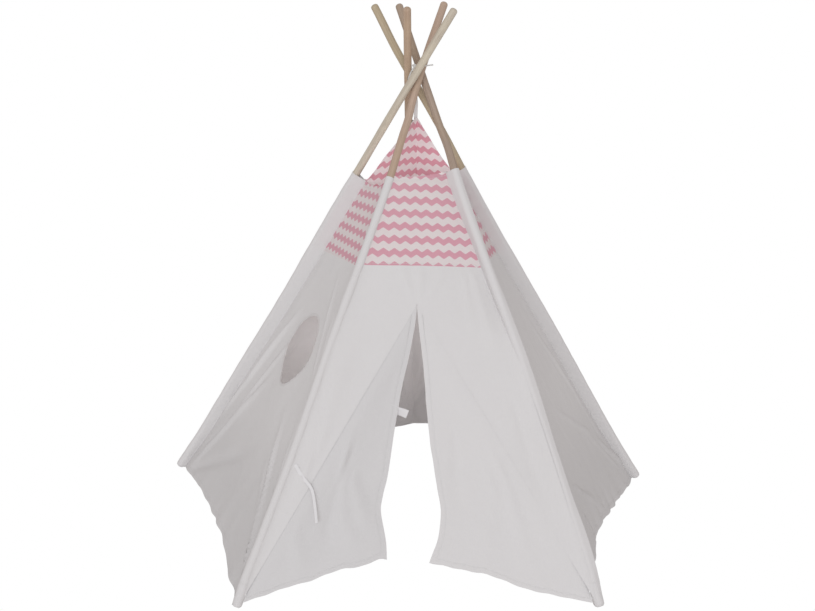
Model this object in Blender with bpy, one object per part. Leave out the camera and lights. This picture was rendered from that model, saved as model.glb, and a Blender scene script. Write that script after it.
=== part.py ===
"""Kids' teepee: five lashed wooden poles in a sewn cotton cover with a printed top, a round window and a two-flap door.
Metres, +Z up, floor at z = 0, door towards -Y."""
import bpy
import bmesh
import math
from mathutils import Vector, Matrix

for ob in list(bpy.data.objects):
    bpy.data.objects.remove(ob, do_unlink=True)

# ---------------------------------------------------------------- driving dimensions
FOOT_RADIUS = 0.8267        # circle that the five feet stand on
CROSSING_HEIGHT = 1.3278    # height of the lashing
SHIFT_X, SHIFT_Y = -0.00106, -0.0658   # puts the middle of the footprint's box on the origin
POLE_TOP = 1.80             # distance from the floor to the pole's tip, along the pole
POLE_R = 0.0110
POLE_END_ROUND = 0.0035
POLE_JOIN = 0.900           # where the two sections of a pole meet, along the pole
POLE_FOOT = 0.0098          # the square-cut foot starts this far up its own axis
FERRULE_R_IN, FERRULE_R_OUT, FERRULE_HALF = 0.0113, 0.0121, 0.050
SLEEVE_R_IN, SLEEVE_R_OUT = 0.0125, 0.0135
POCKET_R_IN, POCKET_R_OUT, POCKET_TOP = 0.0114, 0.0135, 0.070
SIDES = 12
CLOTH_T = 0.0010
GAP = 0.0004
PRINT_SEAM = 0.980          # seam between printed top and plain wall, along the poles
CORD_R, HOLE_R = 0.0020, 0.0027
FOLDED_TILT = math.radians(5.0)   # what is left of each pole's lean when the frame is gathered
WINDOW_ACROSS, WINDOW_UP, WINDOW_R = 0.0, 0.616, 0.1150
SLIT_TOP = 0.862            # top of the door slit, along the panel in pole distance
HEM_EXP = 1.35

# name: (azimuth of the foot in degrees, x and y of the pole where it crosses, sleeve top along the pole)
POLES = {
    "left": (157.0, -0.0153, -0.0445, 1.232),
    "front_left": (237.3, 0.0023, -0.0147, 1.252),
    "front_right": (308.9, 0.0169, 0.0154, 1.276),
    "right": (22.6, -0.0072, 0.0317, 1.250),
    "back": (89.0, -0.0273, 0.0019, 1.424),
}

# panel: (first pole, second pole, share of the width that belongs to the first pole, hem rise at mid panel)
PANELS = {
    "left": ("left", "front_left", 0.22, 0.090),
    "front": ("front_left", "front_right", 0.50, 0.124),
    "right": ("front_right", "right", 0.50, 0.095),
    "back_right": ("right", "back", 0.50, 0.085),
    "back_left": ("back", "left", 0.50, 0.085),
}
# free edges of the two door flaps: (height along the panel, distance from the middle line)
FLAP_EDGE_LEFT = [(0.80, 0.0145), (0.62, 0.048), (0.42, 0.079), (0.27, 0.104), (0.13, 0.088)]
FLAP_EDGE_RIGHT = [(0.80, -0.0040), (0.62, 0.0135), (0.42, 0.034), (0.27, 0.057), (0.13, 0.027)]

SHIFT = Vector((SHIFT_X, SHIFT_Y, 0.0))


# ---------------------------------------------------------------- pole lines
class Pole:
    def __init__(self, name):
        az, cx, cy, self.sleeve_top = POLES[name]
        a = math.radians(az)
        self.name = name
        self.foot = Vector((FOOT_RADIUS * math.cos(a), FOOT_RADIUS * math.sin(a), 0.0)) + SHIFT
        self.cross = Vector((cx, cy, CROSSING_HEIGHT)) + SHIFT
        self.d = (self.cross - self.foot).normalized()
        self.tilt = math.acos(self.d.z)
        # turning about this axis by a positive angle stands the pole up
        self.axis = self.d.cross(Vector((0, 0, 1))).normalized()
        e1 = Vector((0, 0, 1)).cross(self.d).normalized()
        e2 = self.d.cross(e1)
        self.frame = Matrix((
            (e1.x, e2.x, self.d.x, self.foot.x),
            (e1.y, e2.y, self.d.y, self.foot.y),
            (e1.z, e2.z, self.d.z, self.foot.z),
            (0, 0, 0, 1),
        ))

    def at(self, r):
        return self.foot + self.d * r


poles = {n: Pole(n) for n in POLES}


# ---------------------------------------------------------------- materials
def material(name, color, rough, metal=0.0):
    m = bpy.data.materials.new(name)
    m.use_nodes = True
    b = m.node_tree.nodes["Principled BSDF"]
    b.inputs["Base Color"].default_value = (*color, 1.0)
    b.inputs["Roughness"].default_value = rough
    b.inputs["Metallic"].default_value = metal
    m.diffuse_color = (*color, 1.0)
    return m


COLORS = {
    "pole_wood": ((0.50, 0.37, 0.25), 0.6, 0.0),
    "ferrule_metal": ((0.62, 0.63, 0.64), 0.35, 1.0),
    "cover_cotton": ((0.68, 0.66, 0.65), 0.9, 0.0),
    "print_cotton": ((0.72, 0.36, 0.44), 0.9, 0.0),
    "cord_cotton": ((0.78, 0.77, 0.75), 0.85, 0.0),
}
used = {}


def own_material(slot, node):
    color, rough, metal = COLORS[slot]
    used[node] = slot
    return material(f"{slot}_{node}", color, rough, metal)


def add(name, mesh, slot, parent=None, matrix=None):
    ob = bpy.data.objects.new(name, mesh)
    bpy.context.scene.collection.objects.link(ob)
    if matrix is not None:
        ob.matrix_world = matrix
    mesh.materials.append(own_material(slot, name))
    if parent is not None:
        ob.parent = parent
        ob.matrix_parent_inverse = parent.matrix_world.inverted()
    return ob


def empty(name, where, axis, parent=None):
    e = bpy.data.objects.new(name, None)
    bpy.context.scene.collection.objects.link(e)
    e.empty_display_size = 0.08
    e.matrix_world = Matrix.Translation(where) @ axis.to_track_quat("Z", "Y").to_matrix().to_4x4()
    bpy.context.view_layer.update()
    if parent is not None:
        e.parent = parent
        e.matrix_parent_inverse = parent.matrix_world.inverted()
        bpy.context.view_layer.update()
    return e


# ---------------------------------------------------------------- turned pieces
def turned(profile, closed, name):
    """A profile of (radius, height) turned about Z. A closed profile is a ring; an open one starts and ends on the axis."""
    bm = bmesh.new()
    rows = []
    for r, h in profile:
        if r == 0.0:
            rows.append([bm.verts.new((0, 0, h))])
        else:
            rows.append([
                bm.verts.new((r * math.cos(2 * math.pi * k / SIDES), r * math.sin(2 * math.pi * k / SIDES), h))
                for k in range(SIDES)
            ])
    pairs = list(zip(rows, rows[1:])) + ([(rows[-1], rows[0])] if closed else [])
    for a, b in pairs:
        for k in range(SIDES):
            n = (k + 1) % SIDES
            if len(a) == 1 and len(b) == 1:
                continue
            if len(a) == 1:
                bm.faces.new((a[0], b[n], b[k]))
            elif len(b) == 1:
                bm.faces.new((a[k], a[n], b[0]))
            else:
                bm.faces.new((a[k], a[n], b[n], b[k]))
    bmesh.ops.recalc_face_normals(bm, faces=bm.faces)
    me = bpy.data.meshes.new(name)
    bm.to_mesh(me)
    bm.free()
    return me


def smooth(mesh, degrees=35):
    mesh.shade_smooth()
    mesh.set_sharp_from_angle(angle=math.radians(degrees))
    return mesh


def pocket_mesh(pole, name):
    """A cloth cup round the pole's foot, its underside cut flat on the floor."""
    me = turned([
        (0.0, -0.02), (POCKET_R_OUT, -0.02), (POCKET_R_OUT, POCKET_TOP), (POCKET_R_IN, POCKET_TOP),
        (POCKET_R_IN, POLE_FOOT - 0.0005), (0.0, POLE_FOOT - 0.0005),
    ], False, name)
    bm = bmesh.new()
    bm.from_mesh(me)
    to_local = pole.frame.inverted()
    co = to_local @ Vector((pole.foot.x, pole.foot.y, 0.0))
    no = (to_local.to_3x3() @ Vector((0, 0, 1))).normalized()
    cut = bmesh.ops.bisect_plane(
        bm, geom=bm.verts[:] + bm.edges[:] + bm.faces[:], plane_co=co, plane_no=no, clear_inner=True, dist=1e-6)
    edges = [g for g in cut["geom_cut"] if isinstance(g, bmesh.types.BMEdge)]
    bmesh.ops.contextual_create(bm, geom=edges)
    bmesh.ops.recalc_face_normals(bm, faces=bm.faces)
    bm.to_mesh(me)
    bm.free()
    return me


# ---------------------------------------------------------------- cords
def closed_spline(points, steps):
    """A smooth closed curve through the points."""
    n, out = len(points), []
    for i in range(n):
        p0, p1, p2, p3 = (points[(i + k) % n] for k in (-1, 0, 1, 2))
        for s in range(steps):
            t = s / steps
            out.append(0.5 * ((2 * p1) + (p2 - p0) * t + (2 * p0 - 5 * p1 + 4 * p2 - p3) * t * t
                              + (3 * p1 - p0 - 3 * p2 + p3) * t * t * t))
    return out


def open_spline(points, steps):
    ext = [2 * points[0] - points[1]] + list(points) + [2 * points[-1] - points[-2]]
    out = []
    for i in range(1, len(ext) - 2):
        p0, p1, p2, p3 = ext[i - 1:i + 3]
        for s in range(steps):
            t = s / steps
            out.append(0.5 * ((2 * p1) + (p2 - p0) * t + (2 * p0 - 5 * p1 + 4 * p2 - p3) * t * t
                              + (3 * p1 - p0 - 3 * p2 + p3) * t * t * t))
    out.append(points[-1])
    return out


def flat_loop_tube(path, radius, name, sides=8):
    """A tube along a closed curve that lies in a level plane."""
    bm = bmesh.new()
    n, rings = len(path), []
    for i, p in enumerate(path):
        t = (path[(i + 1) % n] - path[i - 1]).normalized()
        side = t.cross(Vector((0, 0, 1)))
        rings.append([
            bm.verts.new(p + side * radius * math.cos(2 * math.pi * k / sides)
                         + Vector((0, 0, 1)) * radius * math.sin(2 * math.pi * k / sides))
            for k in range(sides)
        ])
    for i in range(n):
        a, b = rings[i], rings[(i + 1) % n]
        for k in range(sides):
            m = (k + 1) % sides
            bm.faces.new((a[k], a[m], b[m], b[k]))
    bmesh.ops.recalc_face_normals(bm, faces=bm.faces)
    me = bpy.data.meshes.new(name)
    bm.to_mesh(me)
    bm.free()
    return me


def tube(path, half_w, half_t, name, across, sides=6):
    """A tube or strap along an open curve, half_w wide along `across` and half_t thick."""
    bm = bmesh.new()
    rings = []
    for i, p in enumerate(path):
        t = (path[min(i + 1, len(path) - 1)] - path[max(i - 1, 0)]).normalized()
        a = (across - t * across.dot(t)).normalized()
        b = t.cross(a)
        rings.append([
            bm.verts.new(p + a * half_w * math.cos(2 * math.pi * (k + 0.5) / sides)
                         + b * half_t * math.sin(2 * math.pi * (k + 0.5) / sides))
            for k in range(sides)
        ])
    for r0, r1 in zip(rings, rings[1:]):
        for k in range(sides):
            m = (k + 1) % sides
            bm.faces.new((r0[k], r0[m], r1[m], r1[k]))
    bm.faces.new(rings[0][::-1])
    bm.faces.new(rings[-1])
    bmesh.ops.recalc_face_normals(bm, faces=bm.faces)
    me = bpy.data.meshes.new(name)
    bm.to_mesh(me)
    bm.free()
    return me


# ---------------------------------------------------------------- frame of poles
hub = empty("hub_pivot", poles["back"].cross, poles["back"].axis)
pivots = {n: hub if n == "back" else empty(f"{n}_pivot", p.cross, p.axis, hub) for n, p in poles.items()}

loop_points = [poles[n].cross for n in ("left", "front_left", "front_right", "right", "back")]
loop_path = closed_spline(loop_points, 7)
cutter_mesh = flat_loop_tube(loop_path, HOLE_R, "cord_hole_cutter")
cutter = bpy.data.objects.new("cord_hole_cutter", cutter_mesh)
bpy.context.scene.collection.objects.link(cutter)
cutter.hide_render = True
cutter.display_type = "WIRE"

E = POLE_END_ROUND
for n, p in poles.items():
    piv = pivots[n]
    low = turned([(0, POLE_FOOT), (POLE_R - E / 2, POLE_FOOT), (POLE_R, POLE_FOOT + E / 2), (POLE_R, POLE_JOIN - 0.0003),
                  (0, POLE_JOIN - 0.0003)], False, f"{n}_pole_lower")
    add(f"{n}_pole_lower", smooth(low), "pole_wood", piv, p.frame)
    up = turned([(0, POLE_JOIN + 0.0003), (POLE_R, POLE_JOIN + 0.0003), (POLE_R, CROSSING_HEIGHT / p.d.z - 0.05),
                 (POLE_R, CROSSING_HEIGHT / p.d.z + 0.05), (POLE_R, POLE_TOP - E),
                 (POLE_R - 0.3 * E, POLE_TOP - 0.3 * E), (POLE_R - E, POLE_TOP), (0, POLE_TOP)], False, f"{n}_pole_upper")
    ob = add(f"{n}_pole_upper", smooth(up), "pole_wood", piv, p.frame)
    hole = ob.modifiers.new("cord_hole", "BOOLEAN")
    hole.operation = "DIFFERENCE"
    hole.object = cutter
    hole.solver = "EXACT"
    fer = turned([(FERRULE_R_IN, POLE_JOIN - FERRULE_HALF), (FERRULE_R_OUT, POLE_JOIN - FERRULE_HALF),
                  (FERRULE_R_OUT, POLE_JOIN + FERRULE_HALF), (FERRULE_R_IN, POLE_JOIN + FERRULE_HALF)], True, f"{n}_pole_ferrule")
    add(f"{n}_pole_ferrule", smooth(fer), "ferrule_metal", piv, p.frame)
    sl = turned([(SLEEVE_R_IN, POCKET_TOP + GAP), (SLEEVE_R_OUT, POCKET_TOP + GAP),
                 (SLEEVE_R_OUT, p.sleeve_top), (SLEEVE_R_IN, p.sleeve_top)], True, f"{n}_sleeve")
    add(f"{n}_sleeve", smooth(sl), "cover_cotton", piv, p.frame)
    add(f"{n}_foot_pocket", smooth(pocket_mesh(p, f"{n}_foot_pocket")), "cover_cotton", piv, p.frame)

# lashing: one cord through a hole in every pole; its two ends rise between the poles to a knot
add("lashing_cord", smooth(flat_loop_tube(loop_path, CORD_R, "lashing_cord"), 60), "cord_cotton", hub)
knot_at = Vector((-0.0111, -0.0900, 1.3655))
riser = open_spline([Vector((-0.0248, -0.0908, 1.3303)), Vector((-0.0200, -0.0905, 1.3420)),
                     Vector((-0.0150, -0.0900, 1.3545)), knot_at], 3)
knot = bmesh.new()
bmesh.ops.create_uvsphere(knot, u_segments=10, v_segments=6, radius=0.0055)
bmesh.ops.translate(knot, verts=knot.verts, vec=knot_at)
knot_mesh = bpy.data.meshes.new("lashing_knot_ball")
knot.to_mesh(knot_mesh)
knot.free()
ball = bpy.data.objects.new("lashing_knot_ball", knot_mesh)
bpy.context.scene.collection.objects.link(ball)
ball.hide_render = True
ball.display_type = "WIRE"
knot_ob = add("lashing_knot", smooth(tube(riser, CORD_R, CORD_R, "lashing_knot", Vector((0, 1, 0)), 8), 60), "cord_cotton", hub)
join = knot_ob.modifiers.new("knot", "BOOLEAN")
join.operation = "UNION"
join.object = ball
join.solver = "EXACT"
tail = open_spline([Vector((-0.0050, -0.0930, 1.3660)), Vector((0.0038, -0.0940, 1.3662)), Vector((0.0194, -0.0920, 1.3670)),
                    Vector((0.0310, -0.0900, 1.3685)), Vector((0.0422, -0.0880, 1.3697))], 3)
add("lashing_cord_tail", smooth(tube(tail, CORD_R, CORD_R, "lashing_cord_tail", Vector((0, 1, 0)), 8), 60), "cord_cotton", hub)

# hanging loop: from the peak of the back panels up to the lashing
hang = open_spline([
    Vector((-0.0015, 0.0008, 1.2060)), Vector((-0.0016, -0.0050, 1.2320)), Vector((-0.0016, -0.0105, 1.2600)),
    Vector((-0.0075, -0.0175, 1.2870)), Vector((-0.0190, -0.0290, 1.3090)), Vector((-0.0206, -0.0420, 1.3240)),
], 4)
add("hanging_loop", smooth(tube(hang, 0.0045, 0.0008, "hanging_loop", Vector((1, 0, 0)), 6), 60), "cord_cotton", hub)


# ---------------------------------------------------------------- cover
def width(a, b, r):
    return (poles[b].at(r) - poles[a].at(r)).length


def edge_share(a, b, r, at_first):
    """Share of the width at which the cloth starts, clear of the sleeve on that pole."""
    chord = poles[b].at(r) - poles[a].at(r)
    d = poles[a if at_first else b].d
    lean = chord.normalized().cross(d).length
    return (SLEEVE_R_OUT + GAP + CLOTH_T / 2) / (chord.length * lean)


def on_panel(a, b, s, r):
    return poles[a].at(r).lerp(poles[b].at(r), s)


def hem(s, rise):
    """Pole distance of the hem: at the floor by the poles, risen in the middle."""
    return 0.014 + rise * (1.0 - abs(2 * s - 1) ** HEM_EXP)


def top_edge(panel, s):
    """Pole distance of the cover's top edge."""
    a, b = PANELS[panel][:2]
    ra, rb = poles[a].sleeve_top, poles[b].sleeve_top
    if panel == "back_right":      # rises from the right pole to the peak at the back pole
        return ra + (rb - ra) * min(1.0, max(0.0, (s - 0.12) / 0.88))
    if panel == "back_left":
        return rb + (ra - rb) * min(1.0, max(0.0, ((1 - s) - 0.12) / 0.88))
    sag = 0.018 if panel == "left" else 0.010
    return ra + (rb - ra) * s - sag * 4 * s * (1 - s)


def sheet(name, grid, slot, parent):
    """A grid of points, thickened to a closed cloth panel."""
    bm = bmesh.new()
    rows = [[bm.verts.new(p) for p in row] for row in grid]
    for r0, r1 in zip(rows, rows[1:]):
        for k in range(len(r0) - 1):
            bm.faces.new((r0[k], r0[k + 1], r1[k + 1], r1[k]))
    bmesh.ops.triangulate(bm, faces=bm.faces[:])
    me = bpy.data.meshes.new(name)
    bm.to_mesh(me)
    bm.free()
    ob = add(name, me, slot, parent)
    m = ob.modifiers.new("cloth", "SOLIDIFY")
    m.thickness = CLOTH_T
    m.offset = 0.0
    return ob


def half_grid(panel, first, r_low, r_high, rows, cols):
    """Points of one half of a panel. r_low and r_high are functions of the share across the whole panel."""
    a, b, split, _ = PANELS[panel]
    grid = []
    for j in range(rows + 1):
        row = []
        for i in range(cols + 1):
            u = i / cols
            s0 = u * split if first else split + u * (1 - split)
            r = r_low(s0) + (r_high(s0) - r_low(s0)) * j / rows
            w = width(a, b, r)
            lo, hi = (edge_share(a, b, r, True), split - GAP / w) if first else (split + GAP / w, 1 - edge_share(a, b, r, False))
            row.append(on_panel(a, b, lo + (hi - lo) * u, r))
        grid.append(row)
    return grid


for panel, (a, b, split, rise) in PANELS.items():
    for first in (True, False):
        pole = a if first else b
        add_name = f"{panel}_top_at_{pole}"
        sheet(add_name, half_grid(panel, first, lambda s: PRINT_SEAM + GAP, lambda s: top_edge(panel, s), 1, 4),
              "print_cotton", pivots[pole])
        if panel != "front":
            sheet(f"{panel}_wall_at_{pole}", half_grid(panel, first, lambda s: hem(s, rise), lambda s: PRINT_SEAM - GAP, 3, 5),
                  "cover_cotton", pivots[pole])

# front wall: on each side a fixed part between the pole and the crease, and a door flap that folds along the crease
A, B = "front_left", "front_right"
slit = on_panel(A, B, 0.5 - 0.010 / width(A, B, SLIT_TOP), SLIT_TOP)     # the slit starts 10 mm left of the middle


def front_point(along, across, at_left):
    """A point of the front panel at a pole distance, `across` metres from the middle line."""
    w = width(A, B, along)
    return on_panel(A, B, 0.5 + (-across if at_left else across) / w, along)


door_lines = {}
for at_left, pole, door in ((True, A, "left_door_flap"), (False, B, "right_door_flap")):
    r_b = 0.045
    s_b = edge_share(A, B, r_b, at_left) if at_left else 1 - edge_share(A, B, r_b, at_left)
    low = on_panel(A, B, s_b, r_b)
    # fixed part: a fan of rows from the pole's edge to the crease, then to the middle line above the slit
    steps, grid = 4, []
    for j in range(steps + 1):
        t = j / steps
        r_pole = r_b + (PRINT_SEAM - GAP - r_b) * t
        s_pole = edge_share(A, B, r_pole, at_left)
        outer = on_panel(A, B, s_pole if at_left else 1 - s_pole, r_pole)
        if j == 0:
            inner = low.lerp(slit, 0.012)
        elif t <= 0.75:
            inner = low.lerp(slit, t / 0.75)
        else:
            inner = slit.lerp(on_panel(A, B, 0.5, PRINT_SEAM - GAP), (t - 0.75) / 0.25)
        w = width(A, B, r_pole)
        if t >= 0.75:
            inner = inner.lerp(outer, GAP / (outer - inner).length)
        grid.append([outer, outer.lerp(inner, 0.5), inner])
    sheet(f"front_wall_at_{pole}", grid, "cover_cotton", pivots[pole])

    crease = (slit - low).normalized()
    outward = crease.cross(on_panel(A, B, 0.5, 0.3) - low).normalized()
    if outward.y > 0:
        outward = -outward
    into = outward.cross(crease)
    if into.dot(on_panel(A, B, 0.5, 0.2) - low) < 0:
        into = -into
    shift = into * (CLOTH_T / 2 + 0.0009)
    edge = FLAP_EDGE_LEFT if at_left else FLAP_EDGE_RIGHT
    free = [front_point(r, x, at_left) for r, x in edge]
    n = len(free)
    grid = []
    for j, f in enumerate(free):
        t = (j / (n - 1))
        c = slit.lerp(low, 0.045 + 0.925 * t) + shift
        if j < n - 1:
            row = [c.lerp(f, u) for u in (0.0, 0.34, 0.67, 1.0)]
        else:
            row = []
            for u in (0.0, 0.34, 0.67, 1.0):
                s_c = 0.03 if at_left else 0.97
                s_f = 0.5 + (-edge[-1][1] if at_left else edge[-1][1]) / width(A, B, 0.13)
                s = s_c + (s_f - s_c) * u
                q = on_panel(A, B, s, hem(s, PANELS["front"][3]))
                row.append(c if u == 0.0 else q)
        grid.append(row)
    piv = empty(f"{door}_pivot", low.lerp(slit, 0.5) + outward * CLOTH_T / 2, crease, pivots[pole])
    sheet(door, grid, "cover_cotton", piv)
    door_lines[door] = (low + outward * (CLOTH_T / 2 + 0.0002), crease, outward)

# window: a round hole in the left wall, with a bound edge
a, b, split, rise = PANELS["left"]
base = poles[b].foot - poles[a].foot
mid = (poles[a].foot + poles[b].foot) / 2
up_point = on_panel(a, b, 0.5, 0.70)
up = (up_point - mid)
up = (up - base.normalized() * up.dot(base.normalized())).normalized()
win_c = mid + base.normalized() * WINDOW_ACROSS + up * WINDOW_UP
win_n = base.normalized().cross(up).normalized()
# the wall is a slightly twisted surface, so the window's middle is moved onto it
best = min((on_panel(a, b, 0.5 + i * 0.002, 0.55 + j * 0.005) for i in range(150) for j in range(40)),
           key=lambda q: (q - win_c).length)
win_c = win_c + win_n * (best - win_c).dot(win_n)
win_frame = Matrix.Translation(win_c) @ win_n.to_track_quat("Z", "Y").to_matrix().to_4x4()
cut = bmesh.new()
bmesh.ops.create_cone(cut, cap_ends=True, segments=24, radius1=WINDOW_R, radius2=WINDOW_R, depth=0.12)
cut_mesh = bpy.data.meshes.new("window_cutter")
cut.to_mesh(cut_mesh)
cut.free()
wcut = bpy.data.objects.new("window_cutter", cut_mesh)
bpy.context.scene.collection.objects.link(wcut)
wcut.matrix_world = win_frame
wcut.hide_render = True
wcut.display_type = "WIRE"
wall = bpy.data.objects["left_wall_at_front_left"]
mod = wall.modifiers.new("window", "BOOLEAN")
mod.operation = "DIFFERENCE"
mod.object = wcut
mod.solver = "EXACT"
keep_sides, SIDES = SIDES, 24
ring = turned([(WINDOW_R - 0.0065, -0.0011), (WINDOW_R - 0.0006, -0.0011), (WINDOW_R - 0.0006, 0.0011),
               (WINDOW_R - 0.0065, 0.0011)], True, "window_binding")
SIDES = keep_sides
add("window_binding", smooth(ring), "cover_cotton", pivots["front_left"], win_frame)

# tie ribbon hanging from the front left sleeve, on the outside of the wall
out_front = door_lines["left_door_flap"][2]
tie_points = [(0.397, 0.336), (0.362, 0.316), (0.328, 0.291), (0.278, 0.281), (0.233, 0.276)]
tie = open_spline([front_point(r, x, True) + out_front * 0.0045 for r, x in tie_points], 3)
add("door_tie_outer", smooth(tube(tie, 0.0050, 0.0006, "door_tie_outer", Vector((1, 0, 0)), 6), 60), "cord_cotton", pivots["front_left"])
tie_in = open_spline([front_point(r, x, True) - out_front * 0.0240 for r, x in [(0.5647, 0.0921), (0.5596, 0.0783), (0.5535, 0.0629), (0.5478, 0.0480), (0.5412, 0.0323)]], 2)
add("door_tie_inner", smooth(tube(tie_in, 0.0120, 0.0006, "door_tie_inner", Vector((0, 0, 1)), 6), 60), "cord_cotton",
    bpy.data.objects["left_door_flap_pivot"])

bpy.context.view_layer.update()
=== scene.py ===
import bpy, bmesh, math
import numpy as np
from mathutils import Vector, Matrix


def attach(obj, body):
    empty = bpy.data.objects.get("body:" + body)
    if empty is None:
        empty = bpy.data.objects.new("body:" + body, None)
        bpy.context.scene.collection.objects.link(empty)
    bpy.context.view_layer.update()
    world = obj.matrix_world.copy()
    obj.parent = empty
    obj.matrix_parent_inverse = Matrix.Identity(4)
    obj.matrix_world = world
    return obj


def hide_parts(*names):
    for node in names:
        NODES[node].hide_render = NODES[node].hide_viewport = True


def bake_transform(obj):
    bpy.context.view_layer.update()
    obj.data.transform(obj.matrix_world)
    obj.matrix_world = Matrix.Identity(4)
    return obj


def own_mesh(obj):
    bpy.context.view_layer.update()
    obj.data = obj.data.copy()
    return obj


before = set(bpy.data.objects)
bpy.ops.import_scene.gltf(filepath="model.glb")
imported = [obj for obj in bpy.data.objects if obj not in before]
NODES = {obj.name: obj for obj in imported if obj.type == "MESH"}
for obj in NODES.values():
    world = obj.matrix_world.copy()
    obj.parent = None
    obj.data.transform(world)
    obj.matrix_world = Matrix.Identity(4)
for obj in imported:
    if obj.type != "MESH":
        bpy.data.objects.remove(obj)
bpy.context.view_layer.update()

scene = bpy.context.scene

# ------------------------------------------------------------------ camera
CAM = Vector((-0.014645, -4.126820, 1.699063))
PITCH, ROLL = math.radians(14.4345), math.radians(1.3252)
cam_data = bpy.data.cameras.new("camera")
cam_data.sensor_fit = "HORIZONTAL"
cam_data.sensor_width = 36.0
cam_data.lens = 36.0 * 1400.0 / 815.0
cam_data.clip_end = 200.0
cam = bpy.data.objects.new("camera", cam_data)
scene.collection.objects.link(cam)
cam.matrix_world = (Matrix.Translation(CAM) @ Matrix.Rotation(math.pi / 2 - PITCH, 4, "X") @ Matrix.Rotation(ROLL, 4, "Z"))
scene.camera = cam

# ------------------------------------------------------------------ the tent's lines, as in the CAD source
SHIFT = np.array([-0.00106, -0.0658, 0.0])
FOOT_RADIUS, CROSSING, POLE_TOP, POLE_R, POLE_JOIN = 0.8267, 1.3278, 1.80, 0.011, 0.900
SEAM = 0.980
SPEC = {
    "left": (157.0, -0.0153, -0.0445, 1.232),
    "front_left": (237.3, 0.0023, -0.0147, 1.252),
    "front_right": (308.9, 0.0169, 0.0154, 1.276),
    "right": (22.6, -0.0072, 0.0317, 1.250),
    "back": (89.0, -0.0273, 0.0019, 1.424),
}


def unit(v):
    v = np.asarray(v, float)
    return v / np.linalg.norm(v)


def curve(points):
    """A smooth function through (x, value) pairs, level beyond its ends."""
    xs = np.array([p[0] for p in points], float)
    ys = np.array([p[1] for p in points], float)
    m = np.gradient(ys, xs)
    m[0] = m[-1] = 0.0

    def f(x):
        x = np.clip(np.asarray(x, float), xs[0], xs[-1])
        i = np.clip(np.searchsorted(xs, x) - 1, 0, len(xs) - 2)
        h = xs[i + 1] - xs[i]
        t = (x - xs[i]) / h
        return ((2 * t ** 3 - 3 * t ** 2 + 1) * ys[i] + (t ** 3 - 2 * t ** 2 + t) * h * m[i]
                + (-2 * t ** 3 + 3 * t ** 2) * ys[i + 1] + (t ** 3 - t ** 2) * h * m[i + 1])
    return f


class Pole:
    """A pole's straight CAD line, and the slightly bowed line that its wood and sleeve follow here."""

    def __init__(self, name, azimuth, cx, cy, sleeve_top):
        a = math.radians(azimuth)
        self.name = name
        self.foot = np.array([FOOT_RADIUS * math.cos(a), FOOT_RADIUS * math.sin(a), 0.0]) + SHIFT
        self.cross = np.array([cx, cy, CROSSING]) + SHIFT
        self.d = unit(self.cross - self.foot)
        self.r_cross = float(np.linalg.norm(self.cross - self.foot))
        self.sleeve_top = sleeve_top
        out = np.array([math.cos(a), math.sin(a), 0.0])
        self.out = unit(out - self.d * out.dot(self.d))          # away from the tent's middle, square to the pole
        x = np.array([1.0, 0.0, 0.0])
        self.xdir = x - self.d * x.dot(self.d)                     # world X, square to the pole
        self.side = np.cross(self.d, self.out)

    def at(self, r):
        r = np.asarray(r, float)
        return self.foot + self.d * r[..., None]

    def centre(self, r):
        r = np.asarray(r, float)
        return self.at(r) + self.xdir * BOW[self.name](r)[..., None]

    def seam(self, r):
        """The seam on the inner side of the sleeve, where the two panels join it."""
        r = np.asarray(r, float)
        return self.centre(r) + TIPV[self.name](r.ravel()).reshape(r.shape + (3,))


P = {n: Pole(n, *v) for n, v in SPEC.items()}

# how far each pole's middle bows along world X, in metres, by the distance from its foot
BOW = {
    "left": curve([(0, 0), (.12, .005), (.3, .0055), (.5, .0055), (.65, .0075), (.82, .0070), (.98, .0035), (1.13, .0010), (1.25, .0015), (1.40, 0), (1.8, 0)]),
    "right": curve([(0, 0), (.08, -.004), (.2, -.0065), (.34, -.007), (.5, -.006), (.66, -.006), (.82, -.009), (.98, -.012), (1.13, -.0120), (1.25, -.0105), (1.34, -.0080), (1.42, -.0070), (1.50, -.0080), (1.60, -.0095), (1.68, -.0090), (1.75, -.0050), (1.8, -.003)]),
    "front_left": curve([(0, 0), (.09, -.001), (.17, .002), (.3, .006), (.45, .010), (.6, .0105), (.73, .010), (.88, .0120), (.99, .0150), (1.12, .0165), (1.26, .0160), (1.34, .0125), (1.39, .0110), (1.43, .0110), (1.48, .0055), (1.54, .0020), (1.60, 0), (1.8, 0)]),
    "front_right": curve([(0, 0), (.1, .006), (.3, .008), (.5, .010), (.7, .011), (.9, .006), (1.05, .002), (1.2, -.001), (1.28, .001), (1.35, .004), (1.41, .001), (1.5, 0), (1.8, 0)]),
    "back": curve([(0, 0), (.5, 0), (1.8, 0)]),
}

# where the seam on the inner side of each sleeve lies: (distance from the foot, direction x, y, distance from the pole's middle)
TIPS = {
    "left": [(0, .92, -.39, .018), (.25, .92, -.39, .026), (.6, .92, -.39, .031), (.85, .92, -.39, .034), (1.0, .92, -.39, .037), (1.3, .92, -.39, .038)],
    "front_left": [(0, .46, .89, .018), (.3, .46, .89, .020), (1.0, .46, .89, .020), (1.3, .46, .89, .020)],
    "front_right": [(0, -.75, .66, .018), (.3, -.75, .66, .0195), (.6, -.75, .66, .0195), (.9, -.78, .62, .0215), (1.05, -.80, .60, .0235), (1.2, -.86, .50, .0290), (1.3, -.88, .46, .0310)],
    "right": [(0, -.93, -.37, .018), (.25, -.93, -.37, .026), (.6, -.93, -.37, .031), (1.0, -.93, -.37, .032), (1.3, -.93, -.37, .028)],
    "back": [(0, .10, -.99, .018), (.5, .15, -.99, .023), (1.0, .40, -.90, .025), (1.25, .80, -.55, .027), (1.43, .93, -.37, .0255)],
}


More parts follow.
